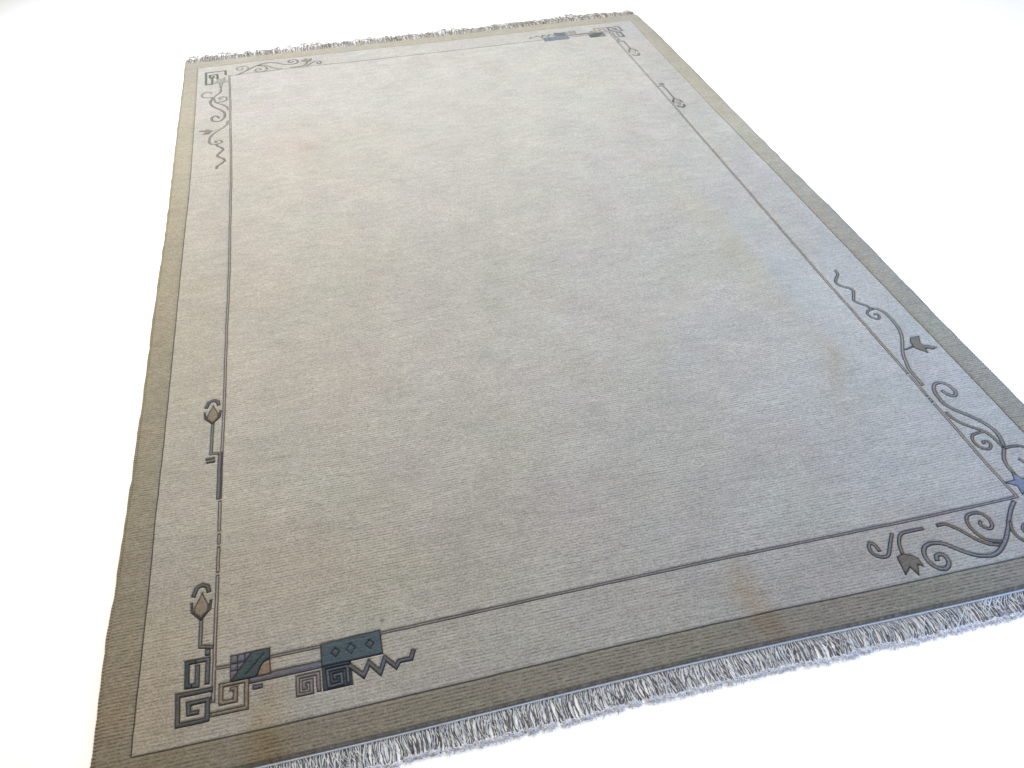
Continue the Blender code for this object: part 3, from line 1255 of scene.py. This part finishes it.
def build_pile(wools):
    """The pile: one mesh for each yarn, meeting in the carved grooves."""
    points, groove, drop, triangles, yarns = knotted_surface()
    u, v = points[:, 0], points[:, 1]
    x, y = place(u, v)
    carved = np.clip(1.0 - groove / GROOVE_HALF, 0.0, 1.0) ** 1.2
    relief = row_relief(u, v)
    calm = np.clip(1.0 - drop / PILE_EDGE_ROUND, 0.0, 1.0)
    swell = 0.0007 * noise(u, v, 0.16, 0.12, 61) + 0.0004 * noise(u, v, 0.05, 0.03, 62)
    top = PILE_HEIGHT - GROOVE_DEPTH * carved - relief * (1.0 - carved) * calm + swell * calm
    skirt = np.clip((drop - PILE_EDGE_ROUND) / (SKIRT - PILE_EDGE_ROUND), 0.0, 1.0)
    y = y + np.sign(v) * SKIRT_LEAN * skirt * (np.abs(v) > PATTERN_HALF_LENGTH - 1e-6)
    positions = np.stack([x, y, lift(x, y) + top - drop], axis=1)
    far = eased((y - FAR_FROM) / (FAR_TO - FAR_FROM))
    on_line = np.abs(band_distance(u, v, LINE_AT)) < LINE_WIDTH / 2.0 + GROOVE_HALF
    # painted shade in the grooves, fainter at the far end, and at the foot of the pile's cut ends
    seen = carved * (1.0 - FAR_GROOVE_SHADE_FADE * far * np.where(on_line, 0.4, 1.0))
    painted_shade = np.clip(seen + 0.7 * np.clip(drop / SKIRT - 0.7, 0.0, 1.0), 0.0, 1.0)
    phase = (v + PATTERN_HALF_LENGTH) / ROW_PITCH
    # painted light on the near end's rolled rim, which faces away from the lamps
    rolled_painted_light = np.clip(drop / PILE_EDGE_ROUND - 0.3, 0.0, 1.0) * (v < 0.0)
    tint = stain_and_light_tint(x, y) * (1.0 + rolled_painted_light[:, None] * (ROLLED_PAINTED_LIGHT - 1.0))

    pieces = []
    for yarn in sorted(set(yarns.tolist())):
        used, faces = np.unique(triangles[yarns == yarn], return_inverse=True)
        stain_and_light = tint[used]
        # painted light and shade along the olive band and the cream pile
        if yarn == "olive":
            stain_and_light = stain_and_light * table(y[used], BAND_PAINTED_LIGHT, 1)[:, None]
        if yarn in ("field", "guard"):
            stain_and_light = stain_and_light * table(y[used], FIELD_PAINTED_LIGHT, 1)[:, None]
        if yarn == "guard":
            stain_and_light = stain_and_light * GUARD_SHADE
        # painted light on the drawn yarns towards the far end
        if yarn in FAR_PAINTED_LIGHT:
            stain_and_light = stain_and_light * (1.0 + far[used, None] * (np.array(FAR_PAINTED_LIGHT[yarn]) - 1.0))
        attributes = (
            ("painted_shade", painted_shade[used]),
            ("phase", phase[used]),
            ("stain_and_light", stain_and_light),
            ("rows", table(y[used], ROW_SHADE_FADE, 1)),
        )
        faces = faces.reshape(-1, 3)
        piece = mesh_piece("pile_" + yarn, positions[used], faces, wools[yarn], attributes)
        "olive_wool" if yarn == "olive" else "cream_wool"
        pieces.append(piece)
    return pieces


def build_back(finish):
    """The rug's knotted back: the foundation under the pile, a little in from its rim."""
    inset, thickness = 0.0015, 0.006
    u = np.linspace(-HALF_WIDTH + inset, HALF_WIDTH - inset, 49)
    v = np.linspace(-PATTERN_HALF_LENGTH + inset, PATTERN_HALF_LENGTH - inset, 73)
    grid_u, grid_v = np.meshgrid(u, v)
    x, y = place(grid_u.ravel(), grid_v.ravel())
    low = lift(x, y)
    points = np.vstack([np.stack([x, y, low], axis=1), np.stack([x, y, low + thickness], axis=1)])
    layer = len(x)
    row, column = np.mgrid[0 : len(v) - 1, 0 : len(u) - 1]
    first = (row * len(u) + column).ravel()
    above = first + len(u)
    under = np.stack([first, above, above + 1, first + 1], axis=1)
    over = np.stack([first, first + 1, above + 1, above], axis=1) + layer
    wall = rim_wall(np.arange(layer).reshape(len(v), len(u)), layer)
    back = mesh_piece("rug_back", points, np.vstack([under, over, wall]), finish)
    return back


def rim_wall(numbers, layer):
    """Faces round the rim of a grid of points, up to the same grid one layer on."""
    ring = np.concatenate([numbers[0], numbers[1:, -1], numbers[-1, -2::-1], numbers[-2:0:-1, 0]])
    after = np.roll(ring, -1)
    return np.stack([ring, after, after + layer, ring + layer], axis=1)


# Cords and strands


def tubes(routes, radii, sides, flat=1.0, twist=0.0):
    """Closed tubes along many routes. Radii have one value for each route and station."""
    count, stations, _ = routes.shape
    tangent = np.gradient(routes, axis=1)
    tangent /= np.maximum(np.linalg.norm(tangent, axis=2, keepdims=True), 1e-9)
    aside = np.cross(tangent, (0.0, 0.0, 1.0))
    aside /= np.maximum(np.linalg.norm(aside, axis=2, keepdims=True), 1e-9)
    over = np.cross(aside, tangent)
    angles = 2.0 * math.pi * np.arange(sides) / sides
    long_way, short_way = np.cos(angles)[None, :], flat * np.sin(angles)[None, :]
    turn = (twist * np.arange(stations))[:, None]
    shape_a = (long_way * np.cos(turn) - short_way * np.sin(turn))[None, :, :, None]
    shape_b = (long_way * np.sin(turn) + short_way * np.cos(turn))[None, :, :, None]
    offset = shape_a * aside[:, :, None, :] + shape_b * over[:, :, None, :]
    points = routes[:, :, None, :] + radii[:, :, None, None] * offset
    base = (np.arange(count)[:, None, None] * stations + np.arange(stations - 1)[None, :, None]) * sides
    here = base + np.arange(sides)[None, None, :]
    beside_it = base + (np.arange(sides)[None, None, :] + 1) % sides
    one = np.stack([here, beside_it, beside_it + sides], axis=-1).reshape(-1, 3)
    two = np.stack([here, beside_it + sides, here + sides], axis=-1).reshape(-1, 3)
    caps = []
    first = np.arange(count) * stations * sides
    last = first + (stations - 1) * sides
    for corner in range(1, sides - 1):
        caps.append(np.stack([first, first + corner + 1, first + corner], axis=1))
        caps.append(np.stack([last, last + corner, last + corner + 1], axis=1))
    return points.reshape(-1, 3), np.vstack([one, two, *caps])


SELVEDGE_SIDES = 9
SELVEDGE_SWAY = 0.0014  # to either side of its line
SWELL = np.array((0.80, 0.95, 1.03, 0.95))  # of the selvedge's radius, between two rows of knots


def build_selvedge(end, column, finish):
    """Wool wound round the edge: a cord that swells between the rows of knots."""
    stations = ROWS * len(SWELL) + 1
    y = np.linspace(-HALF_LENGTH, HALF_LENGTH, stations)
    radius = SELVEDGE_DIAMETER / 2.0
    x = side_x(y, column) + (radius if column == 1 else -radius)
    x = x + SELVEDGE_SWAY * wave(y, 0.030, 90 + column)
    along = y / HALF_LENGTH
    y = y - end_shift(x) * along * np.abs(along)
    wound = SWELL[np.arange(stations) % len(SWELL)]
    wound = wound + 0.04 * wave(y, 0.008, 70 + column) + 0.05 * wave(y, 0.05, 80 + column)
    radii = radius * np.clip(wound, 0.74, 1.06)
    routes = np.stack([x, y, np.full_like(x, radius)], axis=1)[None]
    points, faces = tubes(routes, radii[None], SELVEDGE_SIDES)
    # Each wrap leans a little
    points[:, 1] = np.clip(points[:, 1] + 0.14 * (points[:, 2] - radius), y.min(), y.max())
    # painted shade between the wraps
    between = np.repeat(np.where(np.arange(stations) % len(SWELL) == 0, 0.75, 0.0), SELVEDGE_SIDES)
    phase = np.repeat(np.arange(stations) / len(SWELL), SELVEDGE_SIDES)
    # the stains, with the olive band's painted light and shade
    tint = stain_and_light_tint(points[:, 0], points[:, 1]) * table(points[:, 1], BAND_PAINTED_LIGHT, 1)[:, None]
    rows = table(points[:, 1], ROW_SHADE_FADE, 1)
    attributes = (("painted_shade", between), ("phase", phase), ("stain_and_light", tint), ("rows", rows))
    piece = mesh_piece("wound_edge_" + end, points, faces, finish, attributes)
    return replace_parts(piece, "selvedge_" + end)


def strip_sides(way):
    """X of the woven strip's two ends."""
    y = np.array([way * HALF_LENGTH])
    return float(side_x(y, 1)[0]) + STRIP_INSET, float(side_x(y, 2)[0]) - STRIP_INSET


STRIP_PITCH = 0.0032  # between two pairs of warps
STRIP_ROWS = 6


def build_strip(end, way, finish):
    """The woven strip: wefts packed over the warps, in closed weave."""
    left, right = strip_sides(way)
    columns = int((right - left) / STRIP_PITCH) * 2
    x, out = np.meshgrid(np.linspace(left, right, columns), np.linspace(GAP, STRIP_DEPTH, STRIP_ROWS))
    ribs = 0.00028 * np.cos(2.0 * math.pi * (x - left) / STRIP_PITCH)
    wefts = 0.00022 * np.cos(math.pi * np.arange(STRIP_ROWS))[:, None]
    z = STRIP_HEIGHT - 0.0006 + ribs + wefts
    z[0] *= 0.6
    z[-1] *= 0.55
    z *= np.clip(0.4 + np.minimum(x - left, right - x) / 0.004, 0.4, 1.0)
    y = way * (HALF_LENGTH + out - end_shift(x))
    top = np.stack([x.ravel(), y.ravel(), z.ravel()], axis=1)
    bottom = top * (1.0, 1.0, 0.0)
    numbers = np.arange(STRIP_ROWS * columns).reshape(STRIP_ROWS, columns)
    first, second = numbers[:-1, :-1].ravel(), numbers[1:, :-1].ravel()
    over = np.stack([first, first + 1, second + 1, second], axis=1)
    wall = rim_wall(numbers, STRIP_ROWS * columns)[:, ::-1]
    faces = np.vstack([over, wall, over[:, ::-1] + STRIP_ROWS * columns])
    if way < 0:
        faces = faces[:, ::-1]
    piece = mesh_piece("end_strip_" + end, np.vstack([top, bottom]), faces, finish)
    return piece


HEADER_LAY = 0.0085  # length of one full twist of the header's plies
HEADER_STATIONS = 7  # in one twist


def build_header(end, way, finish):
    """The header: two cotton plies twisted together along the woven strip."""
    left, right = strip_sides(way)
    x = np.linspace(left, right, int((right - left) / HEADER_LAY * HEADER_STATIONS))
    turn = 2.0 * math.pi * (x - left) / HEADER_LAY
    ply = HEADER_DIAMETER / 4.0
    routes = []
    for phase in (0.0, math.pi):
        y = way * (HALF_LENGTH + HEADER_FROM_PILE - end_shift(x) + ply * np.cos(turn + phase))
        z = STRIP_HEIGHT + GAP + HEADER_DIAMETER / 2.0 + ply * np.sin(turn + phase)
        routes.append(np.stack([x, y, z - 0.0006], axis=1))
    routes = np.array(routes)
    points, faces = tubes(routes, np.full(routes.shape[:2], ply * 1.12), 5)
    piece = mesh_piece("twisted_cord_" + end, points, faces, finish)
    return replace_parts(piece, "header_cord_" + end)


BUNCH = (6, 14)  # strands in a bunch, fewest and most
STRAND_LAYERS = {
    # strands, radius, stations, sides, resting height, share of the upper layer's reach,
    # how loosely its bunches lie, stray share
    "over": (600, 0.00098, 12, 5, 0.0028, 1.00, 1.00, 0.20),
    "under": (780, 0.00160, 7, 4, 0.0012, 0.97, 0.45, 0.05),
}


def strand_routes(way, reach_share, rise, tip_rise, seed, layer):
    """Routes of one layer of the fringe's strands, bent as they fell, and their radii."""
    strands, thickness, stations, _, rest, full, loose, stray_share = STRAND_LAYERS[layer]
    chance = np.random.default_rng(seed)
    left, right = strip_sides(way)
    roots = np.linspace(left + 0.002, right - 0.002, strands) + chance.normal(0.0, 0.0007, strands)
    cuts = np.cumsum(chance.integers(*BUNCH, strands))
    bunch = np.searchsorted(cuts, np.arange(strands), side="right")
    number = int(bunch[-1]) + 1
    centre = np.array([roots[bunch == i].mean() for i in range(number)])
    slow = wave(centre, 0.16, seed + 1) + 0.6 * wave(centre, 0.05, seed + 3)
    lean = loose * (0.009 * slow + chance.normal(0.0, 0.0036, number))
    reach = FRINGE_REACH * reach_share * full * (1.0 + 0.07 * wave(centre, 0.045, seed + 4))
    bow = 0.006 * wave(centre, 0.09, seed + 5)
    bow = loose * (bow + chance.normal(0.0, 0.003, number))
    length = reach[bunch] * chance.uniform(0.90, 1.0, strands)
    stray = chance.random(strands) < stray_share
    aim = centre[bunch] + lean[bunch] + 0.92 * (roots - centre[bunch])
    aim = aim + chance.normal(0.0, 0.0030, strands)
    aim = np.where(stray, roots + chance.normal(0.0, 0.016, strands), aim)
    aim = np.clip(aim, left - 0.004, right + 0.004)
    bend = bow[bunch] + chance.normal(0.0, 0.0022, strands)
    lumps = 0.45 * wave(roots, 0.06, seed + 6) + 0.35 * wave(roots, 0.22, seed + 8)
    lumps = np.clip(1.0 + lumps, 0.50, 1.25)
    height = chance.uniform(0.30, 1.0, strands) * rise * (1.0 if layer == "over" else 0.55) * lumps
    height = height + np.where(stray, 0.0012, 0.0)
    share = np.linspace(0.0, 1.0, stations)[None, :]
    crook = noise(share * 4.0 + np.arange(strands)[:, None] * 7.3, 0.0 * share, 1.0, 1.0, seed + 2)
    x = roots[:, None] + (aim - roots)[:, None] * eased(share) + bend[:, None] * np.sin(math.pi * share)
    x = x + 0.0011 * crook
    out = STRIP_DEPTH - 0.002 + (length[:, None] + 0.002) * share
    y = way * (HALF_LENGTH + out - end_shift(x))
    taper = np.interp(share, [0.0, 0.8, 1.0], [1.0, 0.95, 0.75])
    radii = thickness * chance.uniform(0.85, 1.12, strands)[:, None] * taper
    floor = rest * chance.uniform(0.6, 1.0, strands)[:, None]
    floor = np.maximum(floor * (1.0 - 0.4 * share), radii * 1.05)
    root_z = STRIP_HEIGHT + (0.0006 if layer == "over" else -0.0014)
    z = floor + (root_z - floor) * (1.0 - eased(share * 3.0))
    z = z + height[:, None] * np.sin(math.pi * np.clip(share * 1.05, 0.0, 1.0)) ** 1.5
    tip = tip_rise * chance.random(strands) * lumps * (1.0 if layer == "over" else 0.6)
    z = z + tip[:, None] * eased(share)
    return np.stack([x, y, z], axis=2), radii


HAIR_SHARES = np.array((0.0, 0.35, 0.7, 1.0))
HAIR_RADII = np.array((0.00080, 0.00078, 0.00068, 0.00040))


def frayed_hairs(routes, hairs_each, seed):
    """Routes of the hairs that each strand frays into, and their radii."""
    chance = np.random.default_rng(seed)
    tips = np.repeat(routes[:, -1], hairs_each, axis=0)
    heading = np.repeat(routes[:, -1, :2] - routes[:, -3, :2], hairs_each, axis=0)
    heading /= np.linalg.norm(heading, axis=1, keepdims=True)
    aside = np.stack([-heading[:, 1], heading[:, 0]], axis=1)
    swerve = chance.normal(0.0, 0.60, len(tips))
    curve = chance.normal(0.0, 1.0, len(tips))
    length = chance.uniform(0.005, 0.0135, len(tips))
    arch = 0.0045 * chance.random(len(tips))
    hairs = []
    for share in HAIR_SHARES:
        turn = (swerve * share + curve * share**2)[:, None]
        ahead = heading * np.cos(turn) + aside * np.sin(turn)
        flat = tips[:, :2] - heading * 0.0045 + ahead * (length * share)[:, None]
        fallen = np.maximum(0.0006, 0.75 * tips[:, 2] - 0.0020)
        height = tips[:, 2] + (fallen - tips[:, 2]) * share + arch * math.sin(math.pi * share)
        hairs.append(np.column_stack([flat, height]))
    thickness = HAIR_RADII[None, :] * chance.uniform(0.8, 1.25, len(tips))[:, None]
    return np.stack(hairs, axis=1), thickness


def build_fringe(end, way, reach_share, rise, tip_rise, hairs_each, seed, cottons):
    """The fringe: two layers of twisted cotton strands, the upper one frayed at its ends."""
    pieces = []
    for number, layer in enumerate(("over", "under")):
        strands, _, stations, sides = STRAND_LAYERS[layer][:4]
        routes, radii = strand_routes(way, reach_share, rise, tip_rise, seed + 20 * number, layer)
        points, faces = tubes(routes, radii, sides, 0.78, 1.1)
        chance = np.random.default_rng(seed + 7 + number)
        shade = np.clip(chance.normal(0.55, 0.25, strands), 0.0, 1.0)
        if layer == "over":
            upper = routes
        attributes = (("shade", np.repeat(shade, stations * sides)),)
        piece = mesh_piece("strands_" + layer + "_" + end, points, faces, cottons[layer], attributes)
        pieces.append(piece)
    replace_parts(pieces[0], "fringe_" + end)

    hairs, thickness = frayed_hairs(upper, hairs_each, seed + 5)
    points, faces = tubes(hairs, thickness, 3)
    shade = np.clip(np.random.default_rng(seed + 9).normal(0.6, 0.2, len(hairs)), 0.0, 1.0)
    attributes = (("shade", np.repeat(shade, len(HAIR_SHARES) * 3)),)
    frays = mesh_piece("frayed_ends_" + end, points, faces, cottons["frays"], attributes)
    return [*pieces, frays]


# Finishes


class Wire:
    """A node's output. Sums, products and powers of wires add Math nodes."""

    def __init__(self, yarn, socket):
        self.yarn = yarn
        self.socket = socket

    def join(self, operation, first, second):
        """One Math node on two numbers or wires."""
        return self.yarn.node("ShaderNodeMath", {"operation": operation}, {0: first, 1: second})

    def __add__(self, other):
        return self.join("ADD", self, other)

    def __sub__(self, other):
        return self.join("SUBTRACT", self, other)

    def __rsub__(self, other):
        return self.join("SUBTRACT", other, self)

    def __mul__(self, other):
        return self.join("MULTIPLY", self, other)

    def __pow__(self, other):
        return self.join("POWER", self, other)

    def within(self):
        """The value held between 0 and 1."""
        settings = {"operation": "ADD", "use_clamp": True}
        return self.yarn.node("ShaderNodeMath", settings, {0: self, 1: 0.0})

    __radd__ = __add__
    __rmul__ = __mul__


class Yarn:
    """A material on one Principled shader."""

    def __init__(self, name, roughness, sheen=0.0):
        self.material = bpy.data.materials.new(name)
        self.material.use_nodes = True
        self.tree = self.material.node_tree
        self.shader = self.tree.nodes["Principled BSDF"]
        self.shader.inputs["Roughness"].default_value = roughness
        self.shader.inputs["Specular IOR Level"].default_value = 0.25
        self.shader.inputs["Sheen Weight"].default_value = sheen
        self.shader.inputs["Sheen Roughness"].default_value = 0.5

    def node(self, kind, settings=None, values=None, output=0):
        """Adds a node, sets it up, and returns one of its outputs as a wire."""
        node = self.tree.nodes.new(kind)
        for key, value in (settings or {}).items():
            setattr(node, key, value)
        for key, value in (values or {}).items():
            self.feed(node.inputs[key], value)
        return Wire(self, node.outputs[output])

    def feed(self, socket, value):
        """Sets a socket to a value or links a wire to it."""
        if isinstance(value, Wire):
            self.tree.links.new(value.socket, socket)
        else:
            socket.default_value = value

    def place(self):
        """Where on the rug the surface is."""
        return self.node("ShaderNodeTexCoord", {}, {}, "Object")

    def stored(self, name, output="Fac"):
        """A value or colour stored on the mesh."""
        return self.node("ShaderNodeAttribute", {"attribute_name": name}, {}, output)

    def noise(self, where, scale, detail=2.0, roughness=0.5):
        """Noise around 0, mostly between -0.3 and 0.3."""
        values = {"Vector": where, "Scale": scale, "Detail": detail, "Roughness": roughness}
        return self.node("ShaderNodeTexNoise", {}, values) - 0.5

    def stretched(self, where, scale):
        """A place with each axis scaled."""
        return self.node("ShaderNodeVectorMath", {"operation": "MULTIPLY"}, {0: where, 1: scale})

    def blend(self, how, factor, first, second):
        """Two colours mixed."""
        settings = {"data_type": "RGBA", "blend_type": how}
        return self.node("ShaderNodeMix", settings, {0: factor, 6: first, 7: second}, 2)

    def colour(self, wire):
        """Gives the shader its colour."""
        self.feed(self.shader.inputs["Base Color"], wire)

    def bump(self, height, distance, strength):
        """Gives the shader a fine relief."""
        values = {"Height": height, "Distance": distance, "Strength": strength}
        self.feed(self.shader.inputs["Normal"], self.node("ShaderNodeBump", {}, values))


def rgb(red, green, blue):
    """A colour socket's value."""
    return (red, green, blue, 1.0)


def tinted(colour, factor):
    """A colour made lighter or darker."""
    return rgb(*(factor * part for part in colour))


CONTRAST = 0.32  # between the lightest and the darkest tufts and the yarn's own colour
MOTTLE = 0.09  # how far the wool's hue wanders


def wool(name, colour, ribs):
    """Knotted wool pile: cloudy, in tufts, with broken painted shadows between its rows of knots,
    painted shade in its grooves, and stains and painted light from stored colours.
    """
    yarn = Yarn(name, 0.92, 0.15)
    where = yarn.place()
    clouds = yarn.noise(where, 7.0, 4.0, 0.65)
    drift = yarn.noise(yarn.stretched(where, (1.6, 4.5, 1.0)), 9.0, 3.0, 0.6)
    streaks = yarn.noise(yarn.stretched(where, (14.0, 150.0, 1.0)), 1.0, 2.0, 0.6)
    tufts = yarn.noise(yarn.stretched(where, (300.0, 420.0, 300.0)), 1.0, 2.0, 0.7)
    fibres = yarn.noise(where, 1500.0, 1.0, 0.5)
    share = (0.5 + clouds * 0.70 + drift * 0.45 + streaks * 0.45 + tufts * 2.3).within()
    tone = yarn.blend("MIX", share, tinted(colour, 1.0 - CONTRAST), tinted(colour, 1.0 + CONTRAST))
    # stains, with painted light and shade along the rug and at its ends
    tone = yarn.blend("MULTIPLY", 1.0, tone, yarn.stored("stain_and_light", "Color"))
    hues = yarn.node("ShaderNodeTexNoise", {}, {"Vector": where, "Scale": 5.0, "Detail": 3.0}, "Color")
    even = tinted((1.0, 1.0, 1.0), 1.0 - MOTTLE / 2.0)
    tone = yarn.blend("MULTIPLY", 1.0, tone, yarn.blend("ADD", MOTTLE, even, hues))

    phase = yarn.stored("phase")
    row = yarn.node("ShaderNodeMath", {"operation": "ROUND"}, {0: phase})
    across = yarn.node("ShaderNodeSeparateXYZ", {}, {0: where})
    beat = yarn.node("ShaderNodeMath", {"operation": "COSINE"}, {0: phase * (2.0 * math.pi)})
    between = (beat * 0.5 + 0.5) ** 2.0
    spot = yarn.node("ShaderNodeCombineXYZ", {}, {0: across * 70.0, 1: row * 5.37, 2: 0.0})
    broken = (yarn.noise(spot, 1.0, 2.0, 0.6) * 3.0 + 0.55).within()
    # painted shade between the rows, made fainter towards the far end by the stored rows value
    shadow = (between * broken * yarn.stored("rows") * (clouds * 1.6 + 0.95) * ribs).within()
    tone = yarn.blend("MULTIPLY", shadow, tone, rgb(0.34, 0.31, 0.28))
    # painted shade in the grooves, at the foot of the cut ends and between the selvedge's wraps
    tone = yarn.blend("MULTIPLY", (yarn.stored("painted_shade") * 0.94).within(), tone, rgb(0.18, 0.17, 0.17))
    yarn.colour(tone)
    yarn.bump(tufts + fibres * 0.35 + streaks * 0.5 - shadow * 0.6, 0.0018, 0.65)
    return yarn.material


def cotton(name, light, dark, scale):
    """Undyed cotton: slubby, each strand soiled on its own."""
    yarn = Yarn(name, 0.85, 0.1)
    where = yarn.place()
    soiled = yarn.noise(where, 22.0, 3.0, 0.6)
    slubs = yarn.noise(where, scale, 2.0, 0.6)
    share = (yarn.stored("shade") + soiled * 1.2 + slubs * 0.9).within()
    yarn.colour(yarn.blend("MIX", share, rgb(*dark), rgb(*light)))
    yarn.bump(slubs, 0.0004, 0.5)
    return yarn.material


def woven(name, light, dark, scale):
    """Undyed cotton of the woven strip and the header cord."""
    yarn = Yarn(name, 0.85, 0.1)
    where = yarn.place()
    soiled = yarn.noise(where, 14.0, 3.0, 0.6)
    slubs = yarn.noise(where, scale, 2.0, 0.6)
    share = (0.5 + soiled * 1.4 + slubs * 0.9).within()
    yarn.colour(yarn.blend("MIX", share, rgb(*dark), rgb(*light)))
    yarn.bump(slubs, 0.0004, 0.5)
    return yarn.material


def knotted_back(name):
    """The rug's underside: the backs of the knots in rows, between cotton wefts."""
    yarn = Yarn(name, 0.95)
    where = yarn.place()
    settings = {"wave_type": "BANDS", "bands_direction": "Y"}
    values = {"Vector": where, "Scale": 1.0 / (2.0 * math.pi * ROW_PITCH), "Distortion": 0.4}
    rows = yarn.node("ShaderNodeTexWave", settings, values, "Fac")
    knots = yarn.noise(yarn.stretched(where, (190.0, 150.0, 1.0)), 1.0, 1.0, 0.5)
    share = (knots * 0.5 + rows * 0.4 + 0.25).within()
    yarn.colour(yarn.blend("MIX", share, rgb(0.36, 0.32, 0.26), rgb(0.62, 0.58, 0.50)))
    yarn.bump(rows + knots * 0.6, 0.0010, 0.6)
    return yarn.material


YARNS = {
    # yarn: colour, strength of the shadows between its rows
    "field": ((0.566, 0.531, 0.467), 0.55),
    "guard": ((0.566, 0.531, 0.467), 0.55),
    "olive": ((0.366, 0.328, 0.252), 0.76),
    "line": ((0.420, 0.375, 0.350), 0.20),
    "slate": ((0.145, 0.155, 0.170), 0.15),
    "dusk": ((0.255, 0.248, 0.252), 0.15),
    "charcoal": ((0.135, 0.140, 0.145), 0.15),
    "teal": ((0.072, 0.098, 0.108), 0.15),
    "petrol": ((0.095, 0.130, 0.148), 0.30),
    "deep": ((0.072, 0.092, 0.112), 0.20),
    "violet": ((0.190, 0.182, 0.212), 0.15),
    "haze": ((0.178, 0.192, 0.250), 0.15),
    "checks": ((0.205, 0.180, 0.198), 0.15),
    "mauve": ((0.275, 0.230, 0.230), 0.15),
    "mist": ((0.310, 0.298, 0.285), 0.15),
    "grey": ((0.275, 0.246, 0.215), 0.15),
    "moss": ((0.165, 0.172, 0.140), 0.15),
    "beige": ((0.330, 0.278, 0.212), 0.15),
    "rust": ((0.300, 0.228, 0.160), 0.15),
    "bud": ((0.290, 0.238, 0.182), 0.15),
    "leaf": ((0.205, 0.176, 0.142), 0.15),
    "star": ((0.205, 0.240, 0.305), 0.15),
}


def make_floor():
    """A plain pale floor."""
    yarn = Yarn("pale_floor", 0.9)
    yarn.shader.inputs["Base Color"].default_value = rgb(0.90, 0.90, 0.90)
    yarn.shader.inputs["Emission Color"].default_value = rgb(1.0, 1.0, 1.0)
    yarn.shader.inputs["Emission Strength"].default_value = 0.42
    mesh = bpy.data.meshes.new("floor")
    half, low = 20.0, -0.0002
    corners = [(-half, -half, low), (half, -half, low), (half, half, low), (-half, half, low)]
    mesh.from_pydata(corners, [], [(0, 1, 2, 3)])
    mesh.materials.append(yarn.material)
    floor = bpy.data.objects.new("floor", mesh)
    bpy.context.scene.collection.objects.link(floor)


LAMPS = (
    # name, place, aimed at, size, watts of red, green and blue
    ("window_left", (-1.19, 1.61, 1.58), (0.51, 0.73, 0.0), 2.52, (34.0, 37.9, 48.4)),
    ("window_right", (2.17, -1.22, 1.31), (1.26, -1.19, 0.0), 1.42, (13.5, 22.7, 42.0)),
    ("lamp_left", (-1.91, 0.0, 2.24), (-0.28, 0.65, 0.0), 1.59, (36.6, 28.3, 11.5)),
    ("room_behind", (-0.30, -3.70, 2.10), (0.00, -1.50, 0.0), 2.00, (9.0, 9.9, 11.6)),
    ("window_far", (0.70, 1.40, 2.43), (0.93, 0.61, 0.0), 1.59, (51.1, 54.4, 55.9)),
)


def make_lights():
    """Soft light from windows far off and to the right, and a warm lamp on the left."""
    for name, place_at, aim, size, watts in LAMPS:
        data = bpy.data.lights.new(name, "AREA")
        data.shape = "SQUARE"
        data.size = size
        data.energy = max(watts)
        data.color = [part / max(watts) for part in watts]
        lamp = bpy.data.objects.new(name, data)
        lamp.location = place_at
        lamp.rotation_euler = (Vector(aim) - Vector(place_at)).to_track_quat("-Z", "Y").to_euler()
        lamp.visible_camera = False
        bpy.context.scene.collection.objects.link(lamp)
    world = bpy.data.worlds.new("soft_room")
    world.use_nodes = True
    world.node_tree.nodes["Background"].inputs["Color"].default_value = rgb(1.0, 1.0, 1.0)
    world.node_tree.nodes["Background"].inputs["Strength"].default_value = 0.10
    bpy.context.scene.world = world
    bpy.context.scene.view_settings.view_transform = "Standard"


ENDS = (
    # end, way, share of the fringe's reach, height of its arch and of its tips, hairs to a strand, seed
    ("near", -1.0, 0.77, 0.0045, 0.0010, 12, 301),
    ("far", 1.0, 0.94, 0.0110, 0.0175, 5, 401),
)


def main():
    """Dresses the rug."""
    make_camera()
    make_floor()
    make_lights()
    wools = {name: wool("wool_" + name, *finish) for name, finish in YARNS.items()}
    strip_cotton = woven("woven_cotton", (0.74, 0.75, 0.78), (0.50, 0.50, 0.52), 700.0)
    cord_cotton = woven("header_cotton", (0.98, 0.98, 1.00), (0.84, 0.84, 0.86), 900.0)
    cottons = {
        "near": {
            # painted cool light: the near fringe's cotton is made bluish, and its frayed ends lavender
            "over": cotton("fringe_cotton", (0.97, 0.99, 1.00), (0.62, 0.63, 0.66), 900.0),
            # dark under-layer: painted shade in the gaps between the strands
            "under": cotton("under_cotton_painted_shade", (0.36, 0.345, 0.35), (0.14, 0.13, 0.13), 900.0),
            "frays": cotton("frayed_cotton", (1.00, 1.00, 1.00), (0.88, 0.87, 0.96), 900.0),
        },
        "far": {
            "over": cotton("far_fringe_cotton", (0.90, 0.85, 0.75), (0.22, 0.17, 0.12), 900.0),
            # dark under-layer: painted shade in the gaps between the strands
            "under": cotton("far_under_cotton_painted_shade", (0.50, 0.46, 0.40), (0.20, 0.17, 0.13), 900.0),
            "frays": cotton("far_frayed_cotton", (0.96, 0.94, 0.89), (0.40, 0.36, 0.31), 900.0),
        },
    }
    pile = build_pile(wools)
    back = build_back(knotted_back("knotted_back"))
    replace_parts(back, "pile_cloth")
    trims = [build_selvedge("left", 1, wools["olive"]), build_selvedge("right", 2, wools["olive"])]
    for end, way, *lie, seed in ENDS:
        trims.append(build_strip(end, way, strip_cotton))
        trims.append(build_header(end, way, cord_cotton))
        trims += build_fringe(end, way, *lie, seed, cottons[end])
    pile + trims


main()
